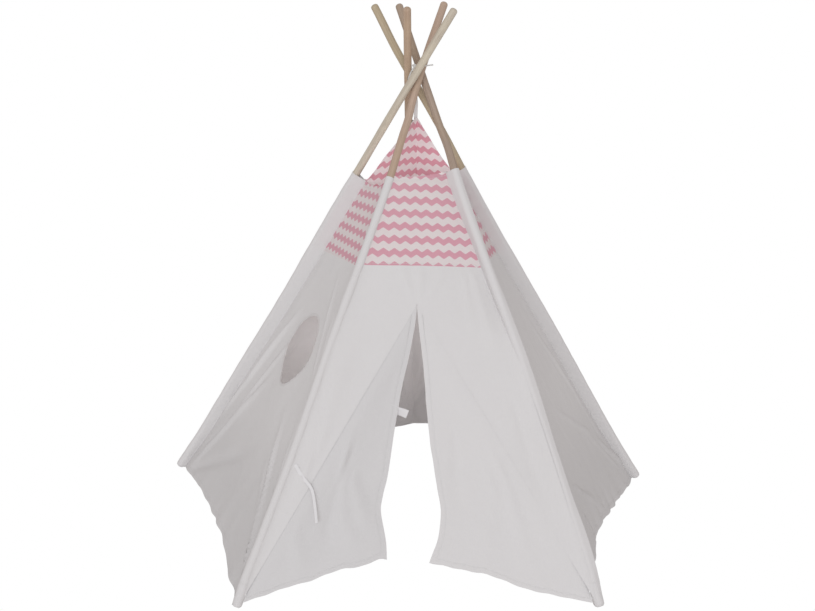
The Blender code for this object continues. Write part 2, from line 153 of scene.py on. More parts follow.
def _tip_function(name):
    xs, ys, ms = (curve([(row[0], row[k]) for row in TIPS[name]]) for k in (1, 2, 3))
    d = P[name].d

    def f(r):
        r = np.atleast_1d(np.asarray(r, float))
        v = np.stack([xs(r), ys(r), np.zeros_like(r)], -1)
        v = v - (v @ d)[..., None] * d
        v /= np.linalg.norm(v, axis=-1, keepdims=True)
        return v * ms(r)[..., None]
    return f


TIPV = {n: _tip_function(n) for n in P}

PANELS = {
    "left": ("left", "front_left", 0.22, 0.090),
    "front": ("front_left", "front_right", 0.50, 0.124),
    "right": ("front_right", "right", 0.50, 0.095),
    "back_right": ("right", "back", 0.50, 0.085),
    "back_left": ("back", "left", 0.50, 0.085),
}


def cad_point(a, b, s, r):
    return P[a].at(r) * (1 - s) + P[b].at(r) * s


def front_point(along, across, at_left=True):
    A, B = P["front_left"], P["front_right"]
    w = np.linalg.norm(B.at(along) - A.at(along))
    return cad_point("front_left", "front_right", 0.5 + (-across if at_left else across) / w, along)


def open_spline(points, steps):
    points = [np.asarray(p, float) for p in points]
    ext = [2 * points[0] - points[1]] + points + [2 * points[-1] - points[-2]]
    out = []
    for i in range(1, len(ext) - 2):
        p0, p1, p2, p3 = ext[i - 1:i + 3]
        for s in range(steps):
            t = s / steps
            out.append(0.5 * ((2 * p1) + (p2 - p0) * t + (2 * p0 - 5 * p1 + 4 * p2 - p3) * t * t
                              + (3 * p1 - p0 - 3 * p2 + p3) * t * t * t))
    out.append(points[-1])
    return np.array(out)


def closed_spline(points, steps):
    points = [np.asarray(p, float) for p in points]
    n, out = len(points), []
    for i in range(n):
        p0, p1, p2, p3 = (points[(i + k) % n] for k in (-1, 0, 1, 2))
        for s in range(steps):
            t = s / steps
            out.append(0.5 * ((2 * p1) + (p2 - p0) * t + (2 * p0 - 5 * p1 + 4 * p2 - p3) * t * t
                              + (3 * p1 - p0 - 3 * p2 + p3) * t * t * t))
    return np.array(out)


# front wall's creases, which are the doors' hinge lines
A_, B_ = "front_left", "front_right"
SLIT_OFF = 0.010                # the slit starts this far to the left of the middle
SLIT = cad_point(A_, B_, 0.5 - SLIT_OFF / float(np.linalg.norm(P[B_].at(.862) - P[A_].at(.862))), np.array(0.862))
HINGE = {}
for _at_left, _door in ((True, "left_door"), (False, "right_door")):
    _w = float(np.linalg.norm(P[B_].at(.045) - P[A_].at(.045)))
    _chord = unit(P[B_].at(.045) - P[A_].at(.045))
    _lean = float(np.linalg.norm(np.cross(_chord, P[A_ if _at_left else B_].d)))
    _s = (0.0135 + 0.0004 + 0.0005) / (_w * _lean)
    _low = cad_point(A_, B_, _s if _at_left else 1 - _s, np.array(.045))
    _crease = unit(SLIT - _low)
    _n = unit(np.cross(_crease, cad_point(A_, B_, .5, np.array(.3)) - _low))
    if _n[1] > 0:
        _n = -_n
    HINGE[_door] = (_low, _crease, _n)
OUT_FRONT = HINGE["left_door"][2]


# ------------------------------------------------------------------ small tools
def smoothstep(x, a, b):
    t = np.clip((np.asarray(x, float) - a) / (b - a), 0.0, 1.0)
    return t * t * (3 - 2 * t)


def mesh_object(name, verts, faces, material, uvs=None, smooth=True, loop_normals=None, inner=None):
    """A mesh object. uvs is {map name: one (u, v) for each vertex}."""
    me = bpy.data.meshes.new(name)
    me.from_pydata([tuple(map(float, v)) for v in verts], [], [tuple(int(i) for i in f) for f in faces])
    me.update()
    loops = np.zeros(len(me.loops), dtype=np.int64)
    me.loops.foreach_get("vertex_index", loops)
    for uv_name, values in (uvs or {}).items():
        layer = me.uv_layers.new(name=uv_name)
        layer.data.foreach_set("uv", np.asarray(values, np.float32)[loops].ravel())
    if smooth:
        me.shade_smooth()
    if loop_normals is not None:
        me.normals_split_custom_set([tuple(map(float, n)) for n in loop_normals])
    me.materials.append(material)
    if inner is not None:
        # (material, first face, last face) of the cloth's inner side
        me.materials.append(inner[0])
        for k in range(inner[1], inner[2]):
            me.polygons[k].material_index = 1
    ob = bpy.data.objects.new(name, me)
    scene.collection.objects.link(ob)
    return ob


def lattice_sheet(name, pts, nrm, uvs, material, thickness=0.0009, extra=None, inner=None):
    """A cloth sheet from a rows x cols lattice of points with their true normals: two faces and a thin rim."""
    rows, cols = pts.shape[:2]
    n = nrm / np.linalg.norm(nrm, axis=2, keepdims=True)
    t = thickness / 2 + (extra if extra is not None else 0.0)
    t = np.broadcast_to(np.asarray(t, float), (rows, cols))[..., None]
    front = (pts + n * t).reshape(-1, 3)
    back = (pts - n * thickness / 2).reshape(-1, 3)
    count = rows * cols
    idx = np.arange(count).reshape(rows, cols)
    a, b, c, d = idx[:-1, :-1].ravel(), idx[:-1, 1:].ravel(), idx[1:, 1:].ravel(), idx[1:, :-1].ravel()
    quads = np.stack([a, b, c, d], 1)
    ring = np.concatenate([idx[0, :], idx[1:, -1], idx[-1, -2::-1], idx[-2:0:-1, 0]])
    nxt = np.roll(ring, -1)
    rim = np.stack([nxt, ring, ring + count, nxt + count], 1)
    faces = np.concatenate([quads, (quads + count)[:, ::-1], rim])
    verts = np.concatenate([front, back])
    flat_n = n.reshape(-1, 3)
    ln = np.concatenate([flat_n[quads].reshape(-1, 3), -flat_n[quads[:, ::-1]].reshape(-1, 3)])
    p = verts[rim]
    rn = np.cross(p[:, 1] - p[:, 0], p[:, 3] - p[:, 0])
    rn /= np.maximum(np.linalg.norm(rn, axis=1, keepdims=True), 1e-12)
    ln = np.concatenate([ln, np.repeat(rn, 4, axis=0)])
    two = {k: np.concatenate([v.reshape(-1, 2), v.reshape(-1, 2)]) for k, v in uvs.items()}
    ob = mesh_object(name, verts, faces, material, two, True, ln, None if inner is None else (inner, len(quads), 2 * len(quads)))
    side = np.linalg.norm(pts[1:, :] - pts[:-1, :], axis=2)
    q = pts
    area = 0.5 * (np.linalg.norm(np.cross(q[:-1, 1:] - q[:-1, :-1], q[1:, :-1] - q[:-1, :-1]), axis=2)
                  + np.linalg.norm(np.cross(q[1:, :-1] - q[1:, 1:], q[:-1, 1:] - q[1:, 1:]), axis=2)).sum()
    return ob, float(area)


def sines(seed, n, low, high):
    """Broad, soft undulation of unit size: a fixed sum of plane waves with wavelengths from low to high metres."""
    rng = np.random.default_rng(seed)
    k = 2 * math.pi / rng.uniform(low, high, n)
    ang = rng.uniform(0, math.pi, n)
    ph = rng.uniform(0, 2 * math.pi, n)

    def f(u, r):
        out = 0.0
        for i in range(n):
            out = out + np.sin(k[i] * (u * math.cos(ang[i]) + r * math.sin(ang[i])) + ph[i])
        return out / math.sqrt(n)
    return f


def folds(u, r, lines):
    """Outward height of soft folds. Each line: from (u0, r0) to (u1, r1), half width, height, share over which it rises and falls."""
    h = 0.0
    for u0, r0, u1, r1, wd, ht in lines:
        du, dr = u1 - u0, r1 - r0
        ln = math.hypot(du, dr)
        t = ((u - u0) * du + (r - r0) * dr) / ln ** 2
        dist = ((u - u0) * dr - (r - r0) * du) / ln
        taper = smoothstep(t, -0.02, 0.22) * (1 - smoothstep(t, 0.62, 1.04))
        wl = wd * (0.6 + 0.6 * np.clip(t, 0, 1))
        h = h + ht * taper * np.exp(-(dist / wl) ** 2)
    return h


def wave_noise(x, seed, amp, low, high, n=6):
    rng = np.random.default_rng(seed)
    k = 2 * math.pi / rng.uniform(low, high, n)
    ph = rng.uniform(0, 2 * math.pi, n)
    x = np.asarray(x, float)
    return amp * sum(np.sin(k[i] * x + ph[i]) for i in range(n)) / math.sqrt(n)


# ------------------------------------------------------------------ materials
class Graph:
    def __init__(self, name):
        self.mat = bpy.data.materials.new(name)
        self.mat.use_nodes = True
        self.t = self.mat.node_tree
        self.bsdf = self.t.nodes["Principled BSDF"]

    def node(self, kind, **props):
        n = self.t.nodes.new(kind)
        for k, v in props.items():
            setattr(n, k, v)
        return n

    def link(self, a, b):
        self.t.links.new(a, b)

    def put(self, socket, value):
        if isinstance(value, bpy.types.NodeSocket):
            self.link(value, socket)
        else:
            socket.default_value = value

    def math(self, op, a, b=0.0, c=0.0, clamp=False):
        n = self.node("ShaderNodeMath", operation=op, use_clamp=clamp)
        for s, v in zip(n.inputs, (a, b, c)):
            self.put(s, v)
        return n.outputs[0]

    def ramp(self, x, lo, hi, a=0.0, b=1.0, smooth=True):
        n = self.node("ShaderNodeMapRange", interpolation_type="SMOOTHSTEP" if smooth else "LINEAR")
        for s, v in zip(n.inputs, (x, lo, hi, a, b)):
            self.put(s, v)
        return n.outputs[0]

    def mix(self, f, a, b, kind="MIX"):
        n = self.node("ShaderNodeMix", data_type="RGBA", blend_type=kind)
        self.put(n.inputs[0], f)
        for s, v in ((n.inputs[6], a), (n.inputs[7], b)):
            self.put(s, v if isinstance(v, bpy.types.NodeSocket) else (*v, 1.0))
        return n.outputs[2]

    def uv(self, name):
        n = self.node("ShaderNodeUVMap", uv_map=name)
        s = self.node("ShaderNodeSeparateXYZ")
        self.link(n.outputs[0], s.inputs[0])
        return n.outputs[0], s.outputs[0], s.outputs[1]

    def object_coords(self):
        return self.node("ShaderNodeTexCoord").outputs["Object"]

    def noise(self, vector, scale, detail=3.0, rough=0.5):
        n = self.node("ShaderNodeTexNoise")
        self.put(n.inputs["Vector"], vector)
        n.inputs["Scale"].default_value = scale
        n.inputs["Detail"].default_value = detail
        n.inputs["Roughness"].default_value = rough
        return n.outputs["Fac"]

    def scaled(self, vector, sx, sy, sz):
        n = self.node("ShaderNodeVectorMath", operation="MULTIPLY")
        self.put(n.inputs[0], vector)
        n.inputs[1].default_value = (sx, sy, sz)
        return n.outputs[0]

    def bump(self, height, distance, strength=1.0, normal=None):
        n = self.node("ShaderNodeBump")
        n.inputs["Strength"].default_value = strength
        n.inputs["Distance"].default_value = distance
        self.put(n.inputs["Height"], height)
        if normal is not None:
            self.link(normal, n.inputs["Normal"])
        return n.outputs[0]


def weave(g, u, v, pitch):
    """Plain weave: warp and weft threads that pass over and under one another, as a height from 0 to 1."""
    a = g.math("SINE", g.math("MULTIPLY", u, math.pi / pitch))
    b = g.math("SINE", g.math("MULTIPLY", v, math.pi / pitch))
    warp = g.math("MULTIPLY", g.math("ABSOLUTE", a), g.math("ADD", g.math("MULTIPLY", b, 0.35), 0.65))
    weft = g.math("MULTIPLY", g.math("ABSOLUTE", b), g.math("SUBTRACT", 0.65, g.math("MULTIPLY", a, 0.35)))
    return g.math("MAXIMUM", warp, weft)


WHITE = (0.690, 0.668, 0.664)


def cotton(name, base=WHITE, printed=None, stitched=False, rough=0.92, pitch=0.0011, wrinkle=1.0, low=None):
    """Plain-woven cotton canvas. UV map cloth: metres across and up the cloth; print: the printed pattern's own
    place; hem: metres along and in from the sewn edge."""
    g = Graph(name)
    vec, u, v = g.uv("cloth")
    threads = weave(g, u, v, pitch)
    slub = g.noise(g.scaled(vec, 900.0, 55.0, 1.0), 1.0, 2.0)
    slub2 = g.noise(g.scaled(vec, 55.0, 900.0, 1.0), 1.0, 2.0)
    cloud = g.noise(vec, 7.0, 4.0, 0.6)
    crumple = g.noise(vec, 26.0, 4.0, 0.55)
    tone = g.math("ADD", g.math("MULTIPLY", slub, 0.05), g.math("MULTIPLY", slub2, 0.05))
    tone = g.math("ADD", tone, g.math("MULTIPLY", cloud, 0.07))
    tone = g.math("ADD", tone, g.math("MULTIPLY", threads, 0.05))
    tone = g.math("ADD", tone, 0.895)
    color = base
    if printed:
        _, pu, pv = g.uv("print")
        lam, pitch_p, amp, half = 0.0310, 0.0401, 0.0098, 0.0093
        saw = g.math("FRACT", g.math("DIVIDE", pu, lam))
        tri = g.math("MULTIPLY", g.math("ABSOLUTE", g.math("SUBTRACT", saw, 0.5)), 2.0)
        tri = g.math("ADD", g.math("MULTIPLY", tri, 0.45), g.math("MULTIPLY", g.ramp(tri, 0.0, 1.0), 0.55))
        zig = g.math("MULTIPLY", g.math("SUBTRACT", tri, 0.5), amp)
        edge_noise = g.math("MULTIPLY", g.math("SUBTRACT", g.noise(vec, 300.0, 2.0), 0.5), 0.0010)
        y = g.math("ADD", g.math("SUBTRACT", pv, zig), edge_noise)
        f = g.math("FRACT", g.math("ADD", g.math("DIVIDE", y, pitch_p), 0.5))
        dist = g.math("MULTIPLY", g.math("ABSOLUTE", g.math("SUBTRACT", f, 0.5)), pitch_p)
        mask = g.ramp(dist, half - 0.0007, half + 0.0007, 1.0, 0.0)
        ink = g.ramp(g.noise(vec, 420.0, 3.0, 0.6), 0.25, 0.75, 0.88, 1.0)
        mask = g.math("MULTIPLY", mask, ink)
        color = g.mix(mask, *printed)
        color = g.mix(1.0, color, g.mix(tone, (0.0, 0.0, 0.0), (1.0, 1.0, 1.0)), "MULTIPLY")
    else:
        color = g.mix(tone, (0.0, 0.0, 0.0), base)
    if low is not None:
        # painted shade: the cloth darkens towards the hem, by height above the floor, to the factor low at 0.10 m and
        # below
        split = g.node("ShaderNodeSeparateXYZ")
        g.link(g.object_coords(), split.inputs[0])
        painted_low_shade = g.ramp(split.outputs[2], 0.10, 0.42, low, 1.0)
        color = g.mix(1.0, color, g.mix(painted_low_shade, (0.0, 0.0, 0.0), (1.0, 1.0, 1.0)), "MULTIPLY")
    height = g.math("ADD", g.math("MULTIPLY", threads, 0.5), g.math("MULTIPLY", g.math("ADD", slub, slub2), 0.5))
    normal = g.bump(g.math("ADD", cloud, g.math("MULTIPLY", crumple, 0.35)), 0.0035 * wrinkle)
    if stitched:
        _, hu, hv = g.uv("hem")
        near = g.math("ABSOLUTE", g.math("SUBTRACT", hv, 0.0145))
        line = g.ramp(near, 0.0004, 0.0011, 1.0, 0.0)
        dash = g.math("FRACT", g.math("DIVIDE", hu, 0.0046))
        dash = g.ramp(g.math("ABSOLUTE", g.math("SUBTRACT", dash, 0.5)), 0.30, 0.40, 1.0, 0.0)
        thread = g.math("MULTIPLY", line, dash)
        pull = g.ramp(near, 0.0, 0.0045, 0.0, 1.0)
        color = g.mix(g.math("MULTIPLY", line, 0.10), color, (0.40, 0.385, 0.38))
        color = g.mix(g.math("MULTIPLY", thread, 0.5), color, (0.76, 0.75, 0.74))
        normal = g.bump(g.math("ADD", pull, g.math("MULTIPLY", thread, 0.8)), 0.0006, 0.8, normal)
    normal = g.bump(height, 0.00018, 0.8, normal)
    g.link(color, g.bsdf.inputs["Base Color"])
    g.link(normal, g.bsdf.inputs["Normal"])
    g.link(g.ramp(threads, 0.0, 1.0, min(1.0, rough + 0.05), rough - 0.05, smooth=False), g.bsdf.inputs["Roughness"])
    g.bsdf.inputs["Sheen Weight"].default_value = 0.12
    g.bsdf.inputs["Sheen Roughness"].default_value = 0.55
    g.bsdf.inputs["Specular IOR Level"].default_value = 0.25
    return g.mat


def wood(name, light, dark, patch, seed):
    """Turned and sanded hardwood: fine straight grain along the pole, darker pores and broad patches of colour.
    UV map wood: metres round and along the pole."""
    g = Graph(name)
    vec, u, v = g.uv("wood")
    shifted = g.node("ShaderNodeVectorMath", operation="ADD")
    g.link(vec, shifted.inputs[0])
    shifted.inputs[1].default_value = (seed * 0.37, seed * 1.13, seed * 0.71)
    vec = shifted.outputs[0]
    warp = g.noise(g.scaled(vec, 40.0, 3.0, 1.0), 1.0, 2.0)
    bent = g.node("ShaderNodeVectorMath", operation="ADD")
    g.link(g.scaled(vec, 260.0, 5.0, 1.0), bent.inputs[0])
    comb = g.node("ShaderNodeCombineXYZ")
    g.link(g.math("MULTIPLY", warp, 5.0), comb.inputs[0])
    g.link(comb.outputs[0], bent.inputs[1])
    grain = g.noise(bent.outputs[0], 1.0, 4.0, 0.6)
    fine = g.noise(g.scaled(vec, 1500.0, 28.0, 1.0), 1.0, 3.0, 0.7)
    pores = g.ramp(g.noise(g.scaled(vec, 1100.0, 70.0, 1.0), 1.0, 2.0), 0.60, 0.72)
    broad = g.ramp(g.noise(g.scaled(vec, 9.0, 7.0, 1.0), 1.0, 3.0, 0.6), 0.40, 0.66)
    color = g.mix(g.ramp(grain, 0.30, 0.70), light, dark)
    color = g.mix(g.math("MULTIPLY", broad, 0.75), color, patch)
    color = g.mix(g.math("MULTIPLY", pores, 0.30), color, tuple(0.55 * c for c in dark))
    color = g.mix(g.math("MULTIPLY", fine, 0.22), color, tuple(0.80 * c for c in light))
    g.link(color, g.bsdf.inputs["Base Color"])
    normal = g.bump(g.math("ADD", g.math("MULTIPLY", grain, 0.5), g.math("MULTIPLY", pores, -0.7)), 0.00030, 0.7)
    normal = g.bump(fine, 0.00012, 0.6, normal)
    g.link(normal, g.bsdf.inputs["Normal"])
    g.link(g.ramp(grain, 0.2, 0.8, 0.52, 0.68, smooth=False), g.bsdf.inputs["Roughness"])
    g.bsdf.inputs["Specular IOR Level"].default_value = 0.35
    return g.mat


def rope(name):
    g = Graph(name)
    vec, u, v = g.uv("cloth")
    fibre = g.noise(g.scaled(vec, 2400.0, 240.0, 1.0), 1.0, 3.0, 0.6)
    tone = g.ramp(fibre, 0.25, 0.75, 0.80, 1.0)
    g.link(g.mix(tone, (0.0, 0.0, 0.0), (0.76, 0.745, 0.72)), g.bsdf.inputs["Base Color"])
    g.link(g.bump(fibre, 0.0003, 0.7), g.bsdf.inputs["Normal"])
    g.link(g.ramp(fibre, 0.0, 1.0, 0.95, 0.80, smooth=False), g.bsdf.inputs["Roughness"])
    g.bsdf.inputs["Sheen Weight"].default_value = 0.2
    return g.mat


def metal(name):
    g = Graph(name)
    vec, u, v = g.uv("wood")
    streak = g.noise(g.scaled(vec, 60.0, 1800.0, 1.0), 1.0, 3.0, 0.6)
    cloud = g.noise(vec, 60.0, 3.0)
    g.link(g.mix(g.ramp(cloud, 0.3, 0.7), (0.62, 0.62, 0.61), (0.50, 0.495, 0.48)), g.bsdf.inputs["Base Color"])
    g.bsdf.inputs["Metallic"].default_value = 1.0
    g.link(g.ramp(streak, 0.2, 0.8, 0.28, 0.48, smooth=False), g.bsdf.inputs["Roughness"])
    g.link(g.bump(streak, 0.00005, 0.6), g.bsdf.inputs["Normal"])
    return g.mat


CANVAS = cotton("canvas")
CANVAS_HEM = cotton("canvas_hemmed", stitched=True)
# painted shade: the left door flap's cotton is a little darker than the wall's, for the shade the flap hangs in
CANVAS_FLAP_PAINTED_SHADE = cotton("canvas_flap", base=(0.655, 0.636, 0.634), stitched=True)
# the walls' cotton is darker towards the hem: painted shade
CANVAS_SIDE = cotton("canvas_side", stitched=True, low=0.90)
PRINT = cotton("printed_canvas", printed=((0.715, 0.640, 0.634), (0.640, 0.310, 0.375)), stitched=True)
# the inner side that shows at the peak and through the door: painted light on the printed top's inner side, whose
# colours are made brighter for the light the cloth lets through, and painted shade on the plain wall's inner side,
# whose colour is made darker
PRINT_INNER_PAINTED_LIGHT = cotton("printed_canvas_inner", printed=((0.820, 0.730, 0.735), (0.690, 0.300, 0.370)), stitched=True)
CANVAS_INNER_PAINTED_SHADE = cotton("canvas_inner", base=(0.660, 0.640, 0.640), stitched=True)
SLEEVE = cotton("sleeve_canvas", base=(0.685, 0.662, 0.658), stitched=True, wrinkle=0.6)
TAPE = cotton("cotton_tape", base=(0.740, 0.720, 0.722), pitch=0.0008, wrinkle=0.2)
# painted shade: the binding's cloth is darker than the wall's, to take back the light its rounded edge catches
BINDING_PAINTED_SHADE = cotton("bias_binding", base=(0.640, 0.618, 0.612), pitch=0.0009, wrinkle=0.2)
ROPE = rope("cotton_rope")
STEEL = metal("ferrule_steel")
WOODS = {
    "left": wood("pole_wood_left", (0.612, 0.545, 0.452), (0.495, 0.420, 0.335), (0.650, 0.575, 0.445), 1),
    "front_left": wood("pole_wood_front_left", (0.530, 0.390, 0.305), (0.410, 0.290, 0.220), (0.480, 0.355, 0.260), 2),
    "front_right": wood("pole_wood_front_right", (0.445, 0.345, 0.275), (0.330, 0.245, 0.190), (0.400, 0.300, 0.215), 3),
    "right": wood("pole_wood_right", (0.525, 0.432, 0.306), (0.410, 0.321, 0.216), (0.505, 0.414, 0.275), 4),
    "back": wood("pole_wood_back", (0.540, 0.400, 0.295), (0.435, 0.305, 0.215), (0.550, 0.405, 0.275), 5),
}

# ------------------------------------------------------------------ general builders
def loft(name, rings, material, maps, cap0=False, cap1=False, inner=None, angle=None, closed=False):
    """A surface through closed rings (R x K x 3). maps: {uv map: (us, vs)} with R x (K + 1) values each.
    inner: a second set of rings, which makes the wall a real thickness, joined at both ends."""
    R, K = rings.shape[:2]
    verts = list(rings.reshape(-1, 3))
    faces, loop_uv = [], {m: [] for m in maps}

    def uv(m, i, k):
        us, vs = maps[m]
        return (us[i % R if closed else i][k], vs[i][k] if not closed else vs[i][k])

    def quads(offset, flip):
        for i in range(R if closed else R - 1):
            j = (i + 1) % R
            for k in range(K):
                n = (k + 1) % K
                f = [(offset + i * K + k, i, k), (offset + i * K + n, i, k + 1),
                     (offset + j * K + n, i + 1, k + 1), (offset + j * K + k, i + 1, k)]
                if flip:
                    f = f[::-1]
                faces.append([a for a, _, _ in f])
                for m in maps:
                    us, vs = maps[m]
                    for _, ii, kk in f:
                        loop_uv[m].append((us[ii][kk], vs[ii][kk]))

    quads(0, False)
    if inner is not None:
        base = len(verts)
        verts += list(inner.reshape(-1, 3))
        quads(base, True)
        for i, flip in ((0, True), (R - 1, False)):
            for k in range(K):
                n = (k + 1) % K
                f = [(i * K + k, k), (i * K + n, k + 1), (base + i * K + n, k + 1), (base + i * K + k, k)]
                if flip:
                    f = f[::-1]
                faces.append([a for a, _ in f])
                for m in maps:
                    us, vs = maps[m]
                    for _, kk in f:
                        loop_uv[m].append((us[i][kk], vs[i][kk]))
    for want, i, flip in ((cap0, 0, True), (cap1, R - 1, False)):
        if want:
            f = list(range(i * K, i * K + K))
            kk = list(range(K))
            if flip:
                f, kk = f[::-1], kk[::-1]
            faces.append(f)
            for m in maps:
                us, vs = maps[m]
                for k in kk:
                    th = 2 * math.pi * k / K
                    loop_uv[m].append((us[i][0] + 0.011 * math.cos(th), vs[i][0] + 0.011 * math.sin(th)))
    me = bpy.data.meshes.new(name)
    me.from_pydata([tuple(map(float, v)) for v in verts], [], faces)
    for m in maps:
        layer = me.uv_layers.new(name=m)
        layer.data.foreach_set("uv", np.asarray(loop_uv[m], np.float32).ravel())
    me.update()
    me.shade_smooth()
    if angle:
        me.set_sharp_from_angle(angle=math.radians(angle))
    me.materials.append(material)
    ob = bpy.data.objects.new(name, me)
    scene.collection.objects.link(ob)
    bm = bmesh.new()
    bm.from_mesh(me)
    bmesh.ops.recalc_face_normals(bm, faces=bm.faces)
    bm.to_mesh(me)
    bm.free()
    return ob


def circle_rings(centres, radii, u, w, K):
    th = 2 * np.pi * np.arange(K) / K
    dirs = np.cos(th)[None, :, None] * u[None, None, :] + np.sin(th)[None, :, None] * w[None, None, :]
    return centres[:, None, :] + dirs * np.asarray(radii, float)[:, None, None]


def path_frames(path, up, closed=False):
    """Tangent, side and normal along a path, carried along without twist."""
    path = np.asarray(path, float)
    n = len(path)
    if closed:
        tan = np.roll(path, -1, 0) - np.roll(path, 1, 0)
    else:
        tan = np.gradient(path, axis=0)
    tan /= np.linalg.norm(tan, axis=1, keepdims=True)
    side = np.zeros_like(path)
    s = np.asarray(up, float)
    for i in range(n):
        s = unit(s - tan[i] * s.dot(tan[i]))
        side[i] = s
    nor = np.cross(tan, side)
    return tan, side, nor


def resample(path, step, closed=False):
    path = np.asarray(path, float)
    if closed:
        path = np.vstack([path, path[:1]])
    seg = np.linalg.norm(np.diff(path, axis=0), axis=1)
    cum = np.concatenate([[0], np.cumsum(seg)])
    n = max(2, int(round(cum[-1] / step)))
    t = np.linspace(0, cum[-1], n + 1)
    out = np.stack([np.interp(t, cum, path[:, i]) for i in range(3)], 1)
    return (out[:-1] if closed else out), float(cum[-1])


def rope_object(name, path, radius, up, closed=False, lay_length=0.011, step=0.0009, K=24, fray=0.0, taper=0.0):
    """Three-strand twisted cotton cord along a path."""
    pts, length = resample(path, step, closed)
    tan, side, nor = path_frames(pts, up, closed)
    n = len(pts)
    along = np.linspace(0, length, n, endpoint=not closed)
    turns = round(length / lay_length) if closed else length / lay_length
    if closed:
        # the carried frame doesn't close on itself; spread the difference over the loop
        s_end = side[-1] - tan[0] * side[-1].dot(tan[0])
        gap = math.atan2(unit(s_end).dot(nor[0]), unit(s_end).dot(side[0]))
    th = 2 * np.pi * np.arange(K) / K
    rings = []
    for i in range(n):
        twist = 2 * np.pi * turns * along[i] / length / 1.0
        if closed:
            twist -= gap * i / n
        lobe = np.abs(np.cos(1.5 * (th - twist))) ** 0.8
        r = radius * (0.74 + 0.26 * lobe)
        if fray and along[i] > length - fray:
            f = (along[i] - (length - fray)) / fray
            r = r * (1 + 0.28 * f) * (1 + 0.10 * np.sin(9 * th + 3 * i))
        if taper and along[i] > length - taper:
            f = (along[i] - (length - taper)) / taper
            r = r * (1 - 0.55 * f ** 2)
        rings.append(pts[i] + side[i] * (np.cos(th) * r)[:, None] + nor[i] * (np.sin(th) * r)[:, None])
    rings = np.array(rings)
    rows = n + 1 if closed else n
    us = np.tile(np.linspace(0, 2 * math.pi * radius, K + 1), (rows, 1))
    vs = np.tile(np.linspace(0, length, rows)[:, None], (1, K + 1))
    return loft(name, rings, ROPE, {"cloth": (us, vs)}, cap0=not closed, cap1=not closed, closed=closed), length


def strap_object(name, path, half_w, half_t, across, material, K=12, twist=None, widths=None, step=0.004):
    pts, length = resample(path, step)
    tan, side, nor = path_frames(pts, across)
    n = len(pts)
    rings = []
    for i in range(n):
        s, q = side[i], nor[i]
        f = i / (n - 1)
        if twist is not None:
            a = twist(f)
            s, q = s * math.cos(a) + q * math.sin(a), q * math.cos(a) - s * math.sin(a)
        hw = half_w * (widths(f) if widths else 1.0)
        prof = []
        for k in range(K):
            t = 2 * math.pi * k / K
            c, z = math.cos(t), math.sin(t)
            prof.append((math.copysign(abs(c) ** 0.35, c) * hw, math.copysign(abs(z) ** 0.55, z) * half_t))
        rings.append([pts[i] + s * a + q * b for a, b in prof])
    rings = np.array(rings)
    us = np.tile(np.linspace(0, 4 * half_w, K + 1), (n, 1))
    vs = np.tile(np.linspace(0, length, n)[:, None], (1, K + 1))
    return loft(name, rings, material, {"cloth": (us, vs)}, cap0=True, cap1=True, angle=50), length, pts


# ------------------------------------------------------------------ cords: lashing, tail, hanging loop and door ties
loop_path = closed_spline([P[n].cross for n in ("left", "front_left", "front_right", "right", "back")], 7)
lash, lash_len = rope_object("lashing_rope", loop_path, 0.0020, (0, 0, 1), closed=True)
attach(lash, "lashing"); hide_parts("lashing_cord")

# the cord's two ends rise between the poles to an overhand knot; one end sticks out to the right of the poles
knot_at = np.array([-0.0111, -0.0900, 1.3655])
riser = [np.array(q) for q in ((-0.0248, -0.0908, 1.3290), (-0.0200, -0.0905, 1.3420), (-0.0150, -0.0900, 1.3545))]
off = np.array([0.0020, 0.0004, -0.0010])
t_ = np.linspace(0, 2 * math.pi, 26, endpoint=False)
trefoil = np.stack([np.sin(t_) + 2 * np.sin(2 * t_), np.cos(t_) - 2 * np.cos(2 * t_), -1.5 * np.sin(3 * t_)], 1) * 0.00152
trefoil = knot_at + trefoil[:, :1] * np.array([1.0, 0, 0]) + trefoil[:, 1:2] * np.array([0, 0, 1.15]) + trefoil[:, 2:] * np.array([0, 1.0, 0])
start = int(np.argmin(trefoil[:, 2] + trefoil[:, 0]))
turns = np.roll(trefoil, -start, axis=0)
knot_path = open_spline([riser[0] - off, riser[1] - off, riser[2] - off] + [q for q in turns[:-1]]
                        + [riser[2] + off, riser[1] + off, riser[0] + off], 5)
knot, knot_len = rope_object("lashing_knot_turns", knot_path, 0.0021, (0, 1, 0), step=0.0008, K=20)
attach(knot, "lashing"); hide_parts("lashing_knot")

tail_path = open_spline([(-0.0075, -0.0925, 1.3660), (0.0038, -0.0940, 1.3662), (0.0194, -0.0920, 1.3670),
                         (0.0310, -0.0900, 1.3685), (0.0422, -0.0880, 1.3697)], 8)
tail, tail_len = rope_object("lashing_tail", tail_path, 0.0020, (0, 1, 0), fray=0.006)
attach(tail, "lashing"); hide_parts("lashing_cord_tail")

hang_path = open_spline([(-0.0030, 0.0012, 1.2010), (-0.0040, -0.0050, 1.2320), (-0.0045, -0.0105, 1.2600),
                         (-0.0095, -0.0175, 1.2870), (-0.0195, -0.0290, 1.3090), (-0.0206, -0.0430, 1.3255)], 8)
hang, hang_len, _ = strap_object("hanging_tape", hang_path, 0.0068, 0.0007, (1, 0, 0), TAPE,
                                 widths=lambda f: 0.72 + 0.28 * math.sin(math.pi * min(1.0, f * 1.3)) - 0.25 * f)
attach(hang, "back_pole"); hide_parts("hanging_loop")

tie_path = open_spline([front_point(np.array(r), x) + OUT_FRONT * 0.0045 for r, x in (
    (0.397, 0.336), (0.362, 0.316), (0.328, 0.291), (0.278, 0.281), (0.233, 0.276))], 8)
tie, tie_len, tie_pts = strap_object("outer_tie_ribbon", tie_path, 0.0050, 0.0005, (1, 0, 0), TAPE,
                                     twist=lambda f: 0.25 * math.sin(3.0 * f), widths=lambda f: 1.0 - 0.25 * f)
front_point(np.array(0.372), 0.318)
front_point(np.array(0.345), 0.298)
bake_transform(tie)
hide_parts("door_tie_outer")

